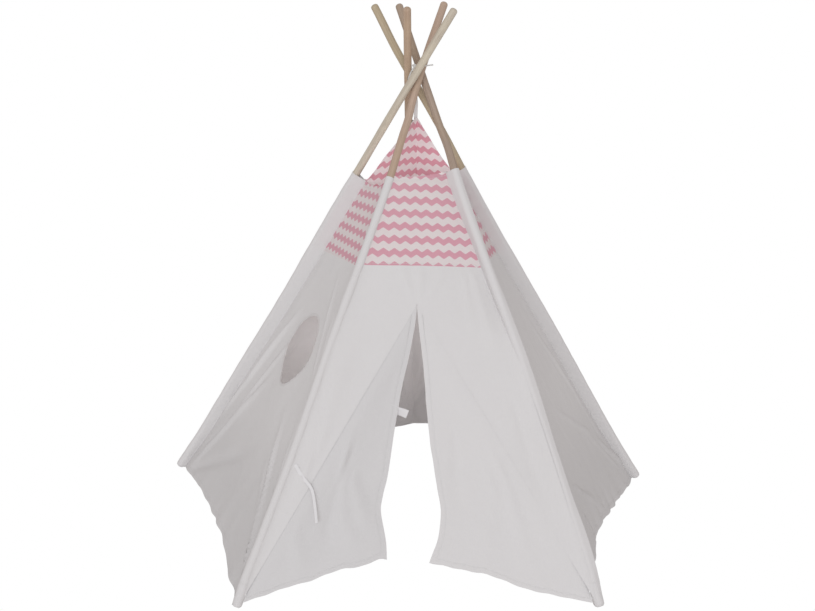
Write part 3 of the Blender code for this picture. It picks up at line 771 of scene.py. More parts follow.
tie_in_path = open_spline([front_point(np.array(r), x) - OUT_FRONT * d for r, x, d in (
    (0.5660, 0.0921, 0.0270), (0.5625, 0.0783, 0.0305), (0.5575, 0.0629, 0.0345), (0.5530, 0.0480, 0.0355), (0.5466, 0.0323, 0.0355))], 8)
tie_in, tie_in_len, tie_in_pts = strap_object("inner_tie_ribbon", tie_in_path, 0.0120, 0.0005, (0, 0, 1), TAPE,
                                              twist=lambda f: 0.20 * math.sin(3.0 * f))
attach(tie_in, "left_door"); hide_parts("door_tie_inner")

# ------------------------------------------------------------------ poles and ferrules
hole_cut, _ = rope_object("hole_cutter", loop_path, 0.0031, (0, 0, 1), closed=True, step=0.004, K=12)
bpy.context.view_layer.update()
BODY = {n: f"{n}_pole" for n in P}
SIDES = 36


def pole_piece(name, pole, profile, node, drill=False):
    rs = np.array([p[0] for p in profile])
    rad = np.array([p[1] for p in profile])
    # small unevenness of a turned pole
    rad = rad + np.where(rad > 0.0105, wave_noise(rs, abs(hash_name(name)) % 1000, 0.00012, 0.05, 0.2), 0.0)
    rings = circle_rings(pole.centre(rs), rad, pole.out, pole.side, SIDES)
    us = np.tile(np.linspace(0, 2 * math.pi * POLE_R, SIDES + 1), (len(rs), 1))
    vs = np.tile(rs[:, None], (1, SIDES + 1))
    ob = loft(name, rings, WOODS[pole.name], {"wood": (us, vs)}, cap0=True, cap1=True, angle=38)
    if drill:
        m = ob.modifiers.new("hole", "BOOLEAN")
        m.operation, m.object, m.solver = "DIFFERENCE", hole_cut, "EXACT"
        dg = bpy.context.evaluated_depsgraph_get()
        me = bpy.data.meshes.new_from_object(ob.evaluated_get(dg))
        ob.modifiers.clear()
        ob.data = me
        me.set_sharp_from_angle(angle=math.radians(38))
        for extra in list(me.materials)[1:]:
            me.materials.pop(index=len(me.materials) - 1)
        me.polygons.foreach_set("material_index", [0] * len(me.polygons))
    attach(ob, BODY[pole.name])
    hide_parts(node)
    return ob


def hash_name(s):
    h = 7
    for c in s:
        h = (h * 31 + ord(c)) % 100003
    return h


TOP_ADD = {"left": 0.006, "front_left": 0.008}
for n, p in P.items():
    top_end = POLE_TOP + TOP_ADD.get(n, 0.0045)
    low = [(r, POLE_R - 0.9 * 0.002 * (1 - s)) for r, s in ((0.0099, 0.0), (0.0105, 0.6), (0.0120, 1.0))]
    low += [(r, POLE_R) for r in np.linspace(0.03, 0.8985, 40)] + [(0.8992, POLE_R - 0.0004)]
    pole_piece(f"{n}_lower_section", p, low, f"{n}_pole_lower")
    up = [(0.9008, POLE_R - 0.0004), (0.9015, POLE_R)]
    up += [(r, POLE_R) for r in np.linspace(0.92, top_end - 0.0084, 46)]
    up += [(top_end - 0.0080 * (1 - math.cos(a)), POLE_R - 0.0080 * (1 - math.sin(a)))
           for a in np.linspace(math.pi / 2, 0.0, 9)]
    pole_piece(f"{n}_upper_section", p, up, f"{n}_pole_upper", drill=True)
    rs = np.array([0.8502, 0.8508, 0.8560, 0.8566, 0.8600, 0.9400, 0.9434, 0.9440, 0.9492, 0.9498])
    ro = np.array([0.0117, 0.01195, 0.01195, 0.01175, 0.01190, 0.01190, 0.01175, 0.01195, 0.01195, 0.0117])
    outer = circle_rings(p.centre(rs), ro, p.out, p.side, SIDES)
    inner = circle_rings(p.centre(rs), np.full(len(rs), 0.01122), p.out, p.side, SIDES)
    us = np.tile(np.linspace(0, 2 * math.pi * 0.012, SIDES + 1), (len(rs), 1))
    vs = np.tile(rs[:, None], (1, SIDES + 1))
    fer = loft(f"{n}_ferrule_tube", outer, STEEL, {"wood": (us, vs)}, inner=inner, angle=40)
    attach(fer, BODY[n]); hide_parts(f"{n}_pole_ferrule")
bpy.data.objects.remove(hole_cut)


# ------------------------------------------------------------------ sleeves and foot pockets
def hull(points):
    pts = sorted(map(tuple, points))

    def half(seq):
        out = []
        for q in seq:
            while len(out) > 1 and ((out[-1][0] - out[-2][0]) * (q[1] - out[-2][1])
                                    - (out[-1][1] - out[-2][1]) * (q[0] - out[-2][0])) <= 0:
                out.pop()
            out.append(q)
        return out[:-1]
    return np.array(half(pts) + half(pts[::-1]))


def section(rho, tips, K, round_tip=0.0012):
    """A taut loop of cloth round a pole of radius rho and out to each tip, K points from the first tip round."""
    th = 2 * np.pi * np.arange(96) / 96
    ring = np.stack([np.cos(th), np.sin(th)], 1)
    pts = [ring * rho]
    small = ring[::6]
    for t in tips:
        ln = np.linalg.norm(t)
        pts.append(np.asarray(t) * (1 - round_tip / ln) + small * round_tip)
    h = hull(np.concatenate(pts))
    t0 = np.asarray(tips[0])
    start = int(np.argmax(h @ (t0 / np.linalg.norm(t0))))
    h = np.roll(h, -start, axis=0)
    h = np.vstack([h, h[:1]])
    cum = np.concatenate([[0], np.cumsum(np.linalg.norm(np.diff(h, axis=0), axis=1))])
    t = np.linspace(0, cum[-1], K + 1)[:-1]
    return np.stack([np.interp(t, cum, h[:, 0]), np.interp(t, cum, h[:, 1])], 1), cum[-1]


LOBE = {"front_right": curve([(0, .014), (.10, .019), (.2, .0205), (.3, .017), (.42, .0165), (.6, .0185), (.87, .0160), (1.0, .0135), (1.12, .0150), (1.22, .0150), (1.28, .0145)])}
SLEEVE_SIDES = 44


def sleeve_rings(p, rs, rho, grow=0.0, seed=0):
    """Rings of the sleeve's cloth at distances rs, in the plane square to the pole."""
    rings, lengths = [], []
    tips3 = TIPV[p.name](rs)
    c = p.centre(rs)
    for i, r in enumerate(rs):
        tip = np.array([tips3[i].dot(p.out), tips3[i].dot(p.side)])
        tip = tip * (1 + grow / np.linalg.norm(tip))
        tips = [tip]
        if p.name in LOBE:
            v = np.array([0.97, -0.22, 0.0])
            v = unit(v - p.d * v.dot(p.d)) * (float(LOBE[p.name](r)) + grow)
            tips.append(np.array([v.dot(p.out), v.dot(p.side)]))
        sec, ln = section(rho[i] if np.ndim(rho) else rho, tips, SLEEVE_SIDES)
        rings.append(c[i] + sec[:, :1] * p.out + sec[:, 1:] * p.side)
        lengths.append(ln)
    return np.array(rings), np.array(lengths)


RHO = {"front_left": 0.0119, "left": 0.0126, "right": 0.0126, "back": 0.0126, "front_right": 0.0126}
P["back"].sleeve_top = 1.408
for n, p in P.items():
    rs = np.concatenate([np.arange(0.068, p.sleeve_top - 0.004, 0.014), [p.sleeve_top - 0.003, p.sleeve_top]])
    seed = hash_name(n) % 997
    bulge = 0.0007 * np.exp(-((rs - POLE_JOIN) / 0.060) ** 4)           # the ferrule under the cloth
    rho_out = RHO[n] + 0.0013 * (1 - smoothstep(rs, 0.07, 0.20)) + bulge + wave_noise(rs, seed, 0.00022, 0.05, 0.15)
    outer, ln = sleeve_rings(p, rs, rho_out)
    inner, _ = sleeve_rings(p, rs, rho_out - 0.0007, grow=-0.0018)
    # puckers along the flat part between the pole and the seam
    k = np.arange(SLEEVE_SIDES)
    flat = np.exp(-((np.minimum(k, SLEEVE_SIDES - k) - 5) / 3.5) ** 2)
    c = p.centre(rs)[:, None, :]
    dirs = outer - c
    dirs /= np.linalg.norm(dirs, axis=2, keepdims=True)
    puck = (wave_noise(rs, seed + 3, 0.0003, 0.05, 0.16)[:, None] * np.sin(k / 3.0 + 1.0)[None, :] * flat[None, :])
    outer = outer + dirs * puck[..., None]
    inner = inner + dirs * puck[..., None]
    us = np.linspace(0, 1, SLEEVE_SIDES + 1)[None, :] * ln[:, None]
    vs = np.tile(rs[:, None], (1, SLEEVE_SIDES + 1))
    dist = np.minimum(us, ln[:, None] - us)
    maps = {"cloth": (us, vs), "hem": (vs, dist + 0.0085)}
    sl = loft(f"{n}_sleeve_cloth", outer, SLEEVE, maps, inner=inner, angle=50)
    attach(sl, BODY[n]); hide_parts(f"{n}_sleeve")

    # the foot pocket: the sleeve's lower end, sewn shut, a cup that the pole stands in
    rp = np.array([0.0025, 0.0030, 0.0045, 0.0075, 0.012, 0.018, 0.026, 0.036, 0.046, 0.056, 0.064, 0.070, 0.073, 0.0745])
    rho_p = np.interp(rp, [0, 0.003, 0.0045, 0.0075, 0.012, 0.03, 0.08], [0.0085, 0.0098, 0.0118, 0.0131, 0.0135, 0.0136, 0.0134])
    outer, ln = sleeve_rings(p, rp, rho_p + wave_noise(rp, seed + 9, 0.00025, 0.02, 0.06), grow=0.0004)
    squeeze = np.interp(rp, [0, 0.003, 0.0075, 0.012], [0.55, 0.70, 0.95, 1.0])[:, None, None]
    cc = p.centre(rp)[:, None, :]
    outer = cc + (outer - cc) * squeeze
    outer[..., 2] = np.maximum(outer[..., 2], 0.0006)
    us = np.linspace(0, 1, SLEEVE_SIDES + 1)[None, :] * ln[:, None]
    vs = np.tile(rp[:, None], (1, SLEEVE_SIDES + 1))
    maps = {"cloth": (us, vs), "hem": (us, 0.0745 - vs + 0.0075)}
    pk = loft(f"{n}_pocket_cloth", outer, SLEEVE, maps, cap0=True, angle=60)
    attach(pk, BODY[n]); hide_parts(f"{n}_foot_pocket")


def sleeve_radius(n, r):
    return RHO[n] + 0.0013 * (1 - smoothstep(r, 0.07, 0.20)) + 0.0007 * np.exp(-((r - POLE_JOIN) / 0.060) ** 4)


# Where the cloth is drawn over a pole, its panel leaves the sleeve at the flank, so many degrees round from the panel's
# plane; elsewhere it leaves at the seam behind the pole.
FLANK = {("front", "front_left"): 50.0, ("left", "front_left"): 50.0, ("front", "front_right"): 60.0}


def seam_share(panel, pole, r):
    """1 where the panel leaves at the seam, 0 where it leaves at the flank."""
    if (panel, pole) not in FLANK:
        return np.ones_like(r)
    return smoothstep(r, 0.64, 0.95) if pole == "front_right" else np.zeros_like(r)


# ------------------------------------------------------------------ the cover's panels
class Panel:
    """A wall's surface: stretched between the seams on two sleeves, sagging inwards a little, with tension folds."""

    def __init__(self, name, sag, lines, broad, seed):
        self.name = name
        self.a, self.b, self.split, self.rise = PANELS[name]
        A, B = P[self.a], P[self.b]
        mid = np.array([0.6])
        t_s = B.at(mid)[0] - A.at(mid)[0]
        t_r = (A.d + B.d) / 2
        self.n = unit(np.cross(t_s, t_r))
        self.sag, self.lines, self.broad, self.soft = sag, lines, broad, sines(seed, 9, 0.16, 0.5)
        self.fine = sines(seed + 1, 9, 0.05, 0.14)

    def edge(self, pole, r):
        """Where the panel leaves a pole's sleeve."""
        r = np.asarray(r, float)
        p = P[pole]
        if (self.name, pole) not in FLANK:
            return p.seam(r)
        other = P[self.b if pole == self.a else self.a]
        e = other.at(np.array([0.6]))[0] - p.at(np.array([0.6]))[0]
        e = unit(e - p.d * e.dot(p.d))
        n = unit(self.n - p.d * self.n.dot(p.d))
        phi = math.radians(FLANK[(self.name, pole)])
        q = seam_share(self.name, pole, r)[..., None]
        rad = 0.0130 + (sleeve_radius(pole, r) - 0.0130) * smoothstep(r, 0.066, 0.084)
        side = p.centre(r) + (e * math.cos(phi) + n * math.sin(phi)) * rad[..., None]
        return side * (1 - q) + p.seam(r) * q

    def width(self, r):
        return np.linalg.norm(self.edge(self.b, r) - self.edge(self.a, r), axis=-1)

    def height(self, s, r, w):
        u = (s - 0.5) * w
        edge = smoothstep(s * w, 0.0, 0.05) * smoothstep((1 - s) * w, 0.0, 0.05)
        h = -self.sag(r) * 4 * s * (1 - s)
        h = h + folds(u, r, self.lines) + edge * (self.broad * self.soft(u, r * 0.8) + 0.18 * self.broad * self.fine(u, r * 0.6))
        # the hem isn't held, so it waves
        loose = np.exp(-np.maximum(r - self.hem(s), 0) / 0.05)
        h = h + edge * loose * wave_noise(u, 31 + hash_name(self.name) % 50, 0.0030, 0.07, 0.22)
        return h

    def point(self, s, r):
        s, r = np.broadcast_arrays(np.asarray(s, float), np.asarray(r, float))
        A, B = self.edge(self.a, r), self.edge(self.b, r)
        w = np.linalg.norm(B - A, axis=-1)
        h = self.height(s, r, w)
        if (self.name, self.b) in FLANK:
            # drawn over the second pole: the wall falls back from the flank to its own plane
            fall = (B - P[self.b].seam(r)) @ self.n
            h = h - fall * s * (1 - np.exp(-(1 - s) * w / np.maximum(fall / 0.84, 0.004)))
        q = A * (1 - s)[..., None] + B * s[..., None] + self.n * h[..., None]
        q[..., 2] = np.maximum(q[..., 2], 0.0012)
        return q

    def normal(self, s, r, e=0.0015):
        w = self.width(np.array([0.6]))[0]
        ds = e / w
        ts = self.point(s + ds, r) - self.point(s - ds, r)
        tr = self.point(s, r + e) - self.point(s, r - e)
        n = np.cross(ts, tr)
        return n / np.maximum(np.linalg.norm(n, axis=-1, keepdims=True), 1e-12)

    def hem(self, s):
        s = np.clip(s, 0.0, 1.0)
        r = 0.014 + self.rise * (1.0 - np.abs(2 * s - 1) ** HEM_SHAPE.get(self.name, 1.35))
        if self.name in HEM_LINE:
            r = HEM_LINE[self.name](s)
        if self.name == "back_left":
            r = 0.004 + (r - 0.004) * smoothstep(s, 0.06, 0.30)
        fade = smoothstep(s, 0, .08) * smoothstep(1 - s, 0, .08)
        return r + fade * wave_noise(s * 0.9, 11 + hash_name(self.name) % 70, 0.0022, 0.05, 0.20)

    def top(self, s):
        return TOP_EDGE[self.name](s)


HEM_SHAPE = {}
HEM_LINE = {
    "left": curve([(0, .014), (.07, .0217), (.1588, .0331), (.2462, .0418), (.35, .0440), (.4459, .0460), (.5796, .0490), (.6733, .0400),
                   (.7475, .0270), (.826, .0140), (.9, .0070), (1, .0050)]),
    "right": curve([(0, .012), (.08, .035), (.157, .060), (.20, .081), (.2984, .0926), (.4596, .0814), (.607, .0580), (.7296, .0450),
                    (.8562, .0240), (.95, .0100), (1, .0080)]),
}
TOP_EDGE = {
    "left": lambda s: 1.232 + 0.020 * s - 0.018 * 4 * s * (1 - s),
    "front": lambda s: 1.252 + 0.024 * s - 0.010 * 4 * s * (1 - s),
    "right": lambda s: 1.276 - 0.026 * s - 0.010 * 4 * s * (1 - s),
    "back_right": curve([(0, 1.238), (.0757, 1.2736), (.1543, 1.300), (.2079, 1.3201), (.2600, 1.3400), (.3200, 1.3610), (.4107, 1.3802), (.5710, 1.3990), (.7221, 1.4150), (.9, 1.4250), (1, 1.4290)]),
    "back_left": curve([(0, 1.4290), (.15, 1.4240), (.3635, 1.4060), (.5314, 1.3840), (.6641, 1.3620), (.7364, 1.3490), (.8178, 1.3300), (.8780, 1.3110), (.9100, 1.2900), (.9380, 1.2680), (.9700, 1.2480), (1, 1.2360)]),
}
# pole distance of the seam between printed top and plain wall, at the panel's first and second pole
SEAM_ENDS = {"left": (0.965, 0.980), "front": (0.980, 0.980), "right": (0.980, 0.955), "back_right": (0.955, 0.975),
             "back_left": (0.975, 0.965)}


def seam_line(panel, s):
    a, b = SEAM_ENDS[panel]
    return a + (b - a) * np.clip(s, 0, 1)


LEFT_LINES = [
    (-.456, .048, -.135, .535, .015, .0105), (-.438, .240, -.150, .760, .013, .0085), (-.46, .110, -.120, .576, .012, -.0045),
    (-.400, .160, -.057, .761, .010, .0045), (-.475, .020, .05, .330, .026, -.0085), (-.34, .400, -.140, .800, .010, .0042),
    (.488, .026, .095, .514, .013, .0105), (.50, .050, .132, .372, .016, .0075), (.520, .030, .230, .560, .012, .0085),
    (.34, .470, .110, .887, .010, .0055), (.40, .30, .20, .70, .010, .0042), (.515, .030, .330, .420, .010, -.0060),
    (.216, .600, .003, .950, .009, .0042), (.45, .060, .170, .450, .009, -.0050),
]
FRONT_LINES = [
    (0.0, .845, 0.0, 1.010, .014, .0040), (-.010, .850, -.070, 1.020, .012, .0020), (.010, .850, .080, 1.000, .014, .0022),
    (.135, 1.000, .215, .700, .020, .0045), (.120, .980, .150, .760, .014, .0028), (.400, .200, .300, .620, .022, .0045),
    (-.345, .230, -.165, .860, .030, .0070), (-.300, .300, -.250, .700, .012, -.0025), (.250, .600, .330, .330, .018, -.0035),
]
RIGHT_LINES = [
    (.530, .024, .280, .265, .014, .0070), (.300, .258, -.023, .472, .012, .0045), (.430, .060, .200, .330, .012, .0030),
    (-.226, .297, .060, .062, .009, .0048), (-.227, .206, -.190, .070, .008, .0040), (-.186, .251, .103, .080, .009, .0030),
    (-.480, .060, -.250, .400, .016, .0030), (.415, .150, .166, .766, .013, .0038),
]
BACK_LINES = [
    (-.46, .040, -.10, .500, .016, .0050), (.46, .040, .120, .520, .016, .0050), (-.44, .080, -.02, .760, .012, .0035),
    (.44, .080, .030, .800, .012, .0035), (-.47, .02, .05, .26, .018, .0035),
]
PANEL = {
    "left": Panel("left", curve([(0, 0), (.3, .002), (.8, .003), (1.1, .003), (1.3, .002)]), LEFT_LINES, 0.0022, 101),
    "right": Panel("right", curve([(0, 0), (.3, .006), (.8, .012), (1.1, .010), (1.3, .004)]), RIGHT_LINES, 0.0022, 202),
    "back_right": Panel("back_right", curve([(0, 0), (.3, .008), (.8, .012), (1.1, .006), (1.45, 0)]), BACK_LINES, 0.0024, 303),
    "back_left": Panel("back_left", curve([(0, 0), (.3, .008), (.8, .012), (1.1, .006), (1.45, 0)]), BACK_LINES, 0.0024, 404),
}


FRONT_HEM = curve([(0, .012), (.05, .0300), (.15, .0605), (.2827, .1020), (.3431, .1120), (.3815, .1265), (.4004, .1240), (.45, .1275), (.528, .1235), (.6214, .1040),
                   (.6955, .0925), (.7465, .0730), (.8495, .0400), (.9437, .0220), (1, .0110)])


class FrontPanel(Panel):
    """The front wall lies in the plane of the poles at the doors' creases, and drops back to the seams beside the sleeves."""

    def __init__(self, *args):
        super().__init__(*args)
        A, B = P[self.a], P[self.b]
        self.n = OUT_FRONT * 0.5 + HINGE["right_door"][2] * 0.5
        self.n = unit(self.n)

    def hem(self, s):
        s = np.clip(s, 0.0, 1.0)
        fade = smoothstep(s, 0, .08) * smoothstep(1 - s, 0, .08)
        return FRONT_HEM(s) + fade * wave_noise(s * 0.9, 23, 0.0016, 0.04, 0.15)

    def edges(self, r):
        A, B = P[self.a], P[self.b]
        chord = B.at(r) - A.at(r)
        w = np.linalg.norm(chord, axis=-1)
        e = chord / w[..., None]
        va, vb = self.edge(self.a, r) - A.at(r), self.edge(self.b, r) - B.at(r)
        return (w, np.sum(va * e, -1) / w, -np.sum(va * self.n, -1), 1 + np.sum(vb * e, -1) / w, -np.sum(vb * self.n, -1))

    def crease_share(self, r, left):
        """Share across at which the crease lies, at a pole distance; the middle above the slit."""
        low = HINGE["left_door" if left else "right_door"][0]
        w_low = float(np.linalg.norm(P[self.b].at(.045) - P[self.a].at(.045)))
        q = np.clip((r - 0.045) / (0.862 - 0.045), 0, 1)
        w = np.linalg.norm(P[self.b].at(r) - P[self.a].at(r), axis=-1)
        # the crease is a straight line: its distance from the middle falls evenly to nothing
        s_low = np.linalg.norm(low - P[self.a].at(.045)) / w_low
        half = (0.5 - (s_low if left else 1 - s_low)) * w_low
        x = half * (1 - q) + (SLIT_OFF if left else -SLIT_OFF) * q
        return 0.5 - x / w if left else 0.5 + x / w

    def point(self, s, r):
        """s is the share between the seams, from 0 to 1."""
        s, r = np.broadcast_arrays(np.asarray(s, float), np.asarray(r, float))
        w, s_a, d_a, s_b, d_b = self.edges(r)
        sc = s_a + (s_b - s_a) * s
        return self.cad(sc, r)

    def cad(self, sc, r):
        """The same surface by the share between the poles' own lines."""
        sc, r = np.broadcast_arrays(np.asarray(sc, float), np.asarray(r, float))
        w, s_a, d_a, s_b, d_b = self.edges(r)
        la = np.maximum((self.crease_share(r, True) - s_a) * w, 0.004)
        lb = np.maximum((s_b - self.crease_share(r, False)) * w, 0.004)
        fa = np.exp(-np.maximum(sc - s_a, 0) * w / 0.0110)
        qb = seam_share("front", self.b, r)
        fb = (1 - qb) * np.exp(-np.maximum(s_b - sc, 0) * w / 0.0190) + qb * np.clip(1 - (s_b - sc) * w / lb, 0, 1) ** 2
        u = (sc - 0.5) * w
        edge = smoothstep((sc - s_a) * w, 0, 0.05) * smoothstep((s_b - sc) * w, 0, 0.05)
        near_a = smoothstep((self.crease_share(r, True) - sc) * w, 0.0, 0.045)
        near_b = smoothstep((sc - self.crease_share(r, False)) * w, 0.0, 0.045)
        above = smoothstep(r, 0.862, 0.93)
        calm = np.maximum(np.maximum(near_a, near_b), above)
        h = -d_a * fa - d_b * fb
        h = h + calm * (folds(u, r, self.lines) + edge * (self.broad * self.soft(u, r * 0.8) + 0.18 * self.broad * self.fine(u, r * 0.6)))
        A, B = P[self.a].at(r), P[self.b].at(r)
        q = A * (1 - sc)[..., None] + B * sc[..., None] + self.n * h[..., None]
        q[..., 2] = np.maximum(q[..., 2], 0.0012)
        return q


PANEL["front"] = FrontPanel("front", None, FRONT_LINES, 0.0016, 505)

PRINT_SHIFT = {"front": (0.0155, -0.0030, 1.0), "left": (0.006, 0.0100, 1.0), "right": (0.0, -0.0030, 0.899),
               "back_right": (0.010, 0.0271, 0.92), "back_left": (0.004, 0.0271, 0.92)}


def print_map(panel, u, r):
    du, dr, k = PRINT_SHIFT[panel]
    v = (r - SEAM) * k - dr * k
    if panel in ("back_right", "back_left"):
        w = PANEL[panel].width(r)
        from_corner = w / 2 - u if panel == "back_right" else w / 2 + u
        v = v - 0.11 * k * from_corner
    if panel == "front":
        v = v + 0.012 * u
    return np.stack([u + du, v], -1)


def cloth_piece(name, pts, nrm, uvs, material, extra=None, thickness=0.0009, inner=None):
    ob, area = lattice_sheet(name, pts, nrm, uvs, material, thickness, extra, inner)
    return ob, area


def squash_along(ob, pole, panel):
    """Gives the piece its own copy of its mesh."""
    p = P[pole]
    pan = PANEL[panel]
    e = P[pan.b].at(np.array([0.6]))[0] - P[pan.a].at(np.array([0.6]))[0]
    e = unit(e - p.d * e.dot(p.d))
    anchor = p.seam(np.array([0.6]))[0]
    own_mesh(ob)


def rows_between(lo, hi, low_steps, n, high_steps):
    """For each column, rows from lo to hi: fixed small steps at each end, even in between. lo and hi are arrays (cols)."""
    rows = [lo + d for d in low_steps]
    a, b = lo + low_steps[-1], hi - high_steps[0]
    rows += [a + (b - a) * (k / n) for k in range(1, n)]
    rows += [hi - d for d in high_steps]
    return np.array(rows)


HEM_STEPS = [0.0, 0.0015, 0.006, 0.011, 0.0155, 0.0172, 0.022]
SHEETS = []


def half_columns(panel, first, cols):
    split = PANEL[panel].split
    t = np.linspace(0, 1, cols + 1)
    return split * t if first else split + (1 - split) * t


def tucked(panel, pole, r_row, edge):
    """Points just inside the sleeve's cloth, where the panel's edge is sewn in."""
    tip = TIPV[pole](r_row)
    tip = tip / np.linalg.norm(tip, axis=1, keepdims=True)
    q = seam_share(panel, pole, r_row)[:, None]
    return (edge - tip * 0.0045) * q + (edge + (P[pole].centre(r_row) - edge) * 0.035) * (1 - q)


def add_tuck(pts, nrm, uv_list, panel, pole, r_row, at_start):
    """One more column inside the sleeve's seam, so that no gap opens between the sleeve and the panel."""
    src = 0 if at_start else -1
    col = tucked(panel, pole, r_row, pts[:, src])
    col[:, 2] = np.maximum(col[:, 2], 0.0012)
    out = []
    for arr, new in [(pts, col), (nrm, nrm[:, src])] + [(v, v[:, src]) for v in uv_list]:
        new = new[:, None]
        out.append(np.concatenate([new, arr], 1) if at_start else np.concatenate([arr, new], 1))
    return out[0], out[1], out[2:]


def panel_half(panel, first, kind):
    pan = PANEL[panel]
    pole = pan.a if first else pan.b
    cols = 40 if kind == "wall" else 24
    s = half_columns(panel, first, cols)
    if kind == "wall":
        lo, hi = pan.hem(s), seam_line(panel, s)
        r = rows_between(lo, hi, HEM_STEPS, 88, [0.0])
        low_edge = lo
    else:
        lo, hi = seam_line(panel, s), pan.top(s)
        r = rows_between(lo, hi, [0.0], 30, [0.0130, 0.0112, 0.006, 0.0015, 0.0])
        low_edge = lo
    S = np.broadcast_to(s, r.shape)
    pts, nrm = pan.point(S, r), pan.normal(S, r)
    w = pan.width(r)
    u = (S - 0.5) * w
    cloth = np.stack([u, r], -1)
    hem = np.stack([u, r - low_edge], -1) if kind == "wall" else np.stack([u, np.minimum(hi - r + 0.003, r - lo + 0.0085)], -1)
    if kind == "wall":
        extra = 0.00035 * (1 - smoothstep(r - low_edge, 0.0155, 0.0170))
    else:
        extra = 0.00035 * (1 - smoothstep(hi - r, 0.0112, 0.0130)) + 0 * r
    uvs = [cloth, hem, print_map(panel, u, r)]
    r_row = r[:, 0 if first else -1]
    pts, nrm, uvs = add_tuck(pts, nrm, uvs, panel, pole, r_row, first)
    extra = np.concatenate([extra[:, :1], extra], 1) if first else np.concatenate([extra, extra[:, -1:]], 1)
    maps = {"cloth": uvs[0], "hem": uvs[1]}
    if kind == "top":
        maps["print"] = uvs[2]
    name = f"{panel}_{kind}_cloth_at_{pole}"
    return pan, pole, pts, nrm, maps, extra, name, r, S


def finish_cloth(ob, area, pts, panel, pole, body, node, squash=True):
    flat_w = float(np.max(np.linalg.norm(pts[:, -1] - pts[:, 0], axis=-1)))
    flat_h = float(np.max(np.linalg.norm(np.diff(pts, axis=0), axis=-1).sum(0)))
    area = min(area, flat_w * flat_h)
    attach(ob, body)
    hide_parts(node)
    if squash:
        squash_along(ob, pole, panel)
    SHEETS.append((ob.name, round(flat_w, 3), round(flat_h, 3), round(area, 4)))


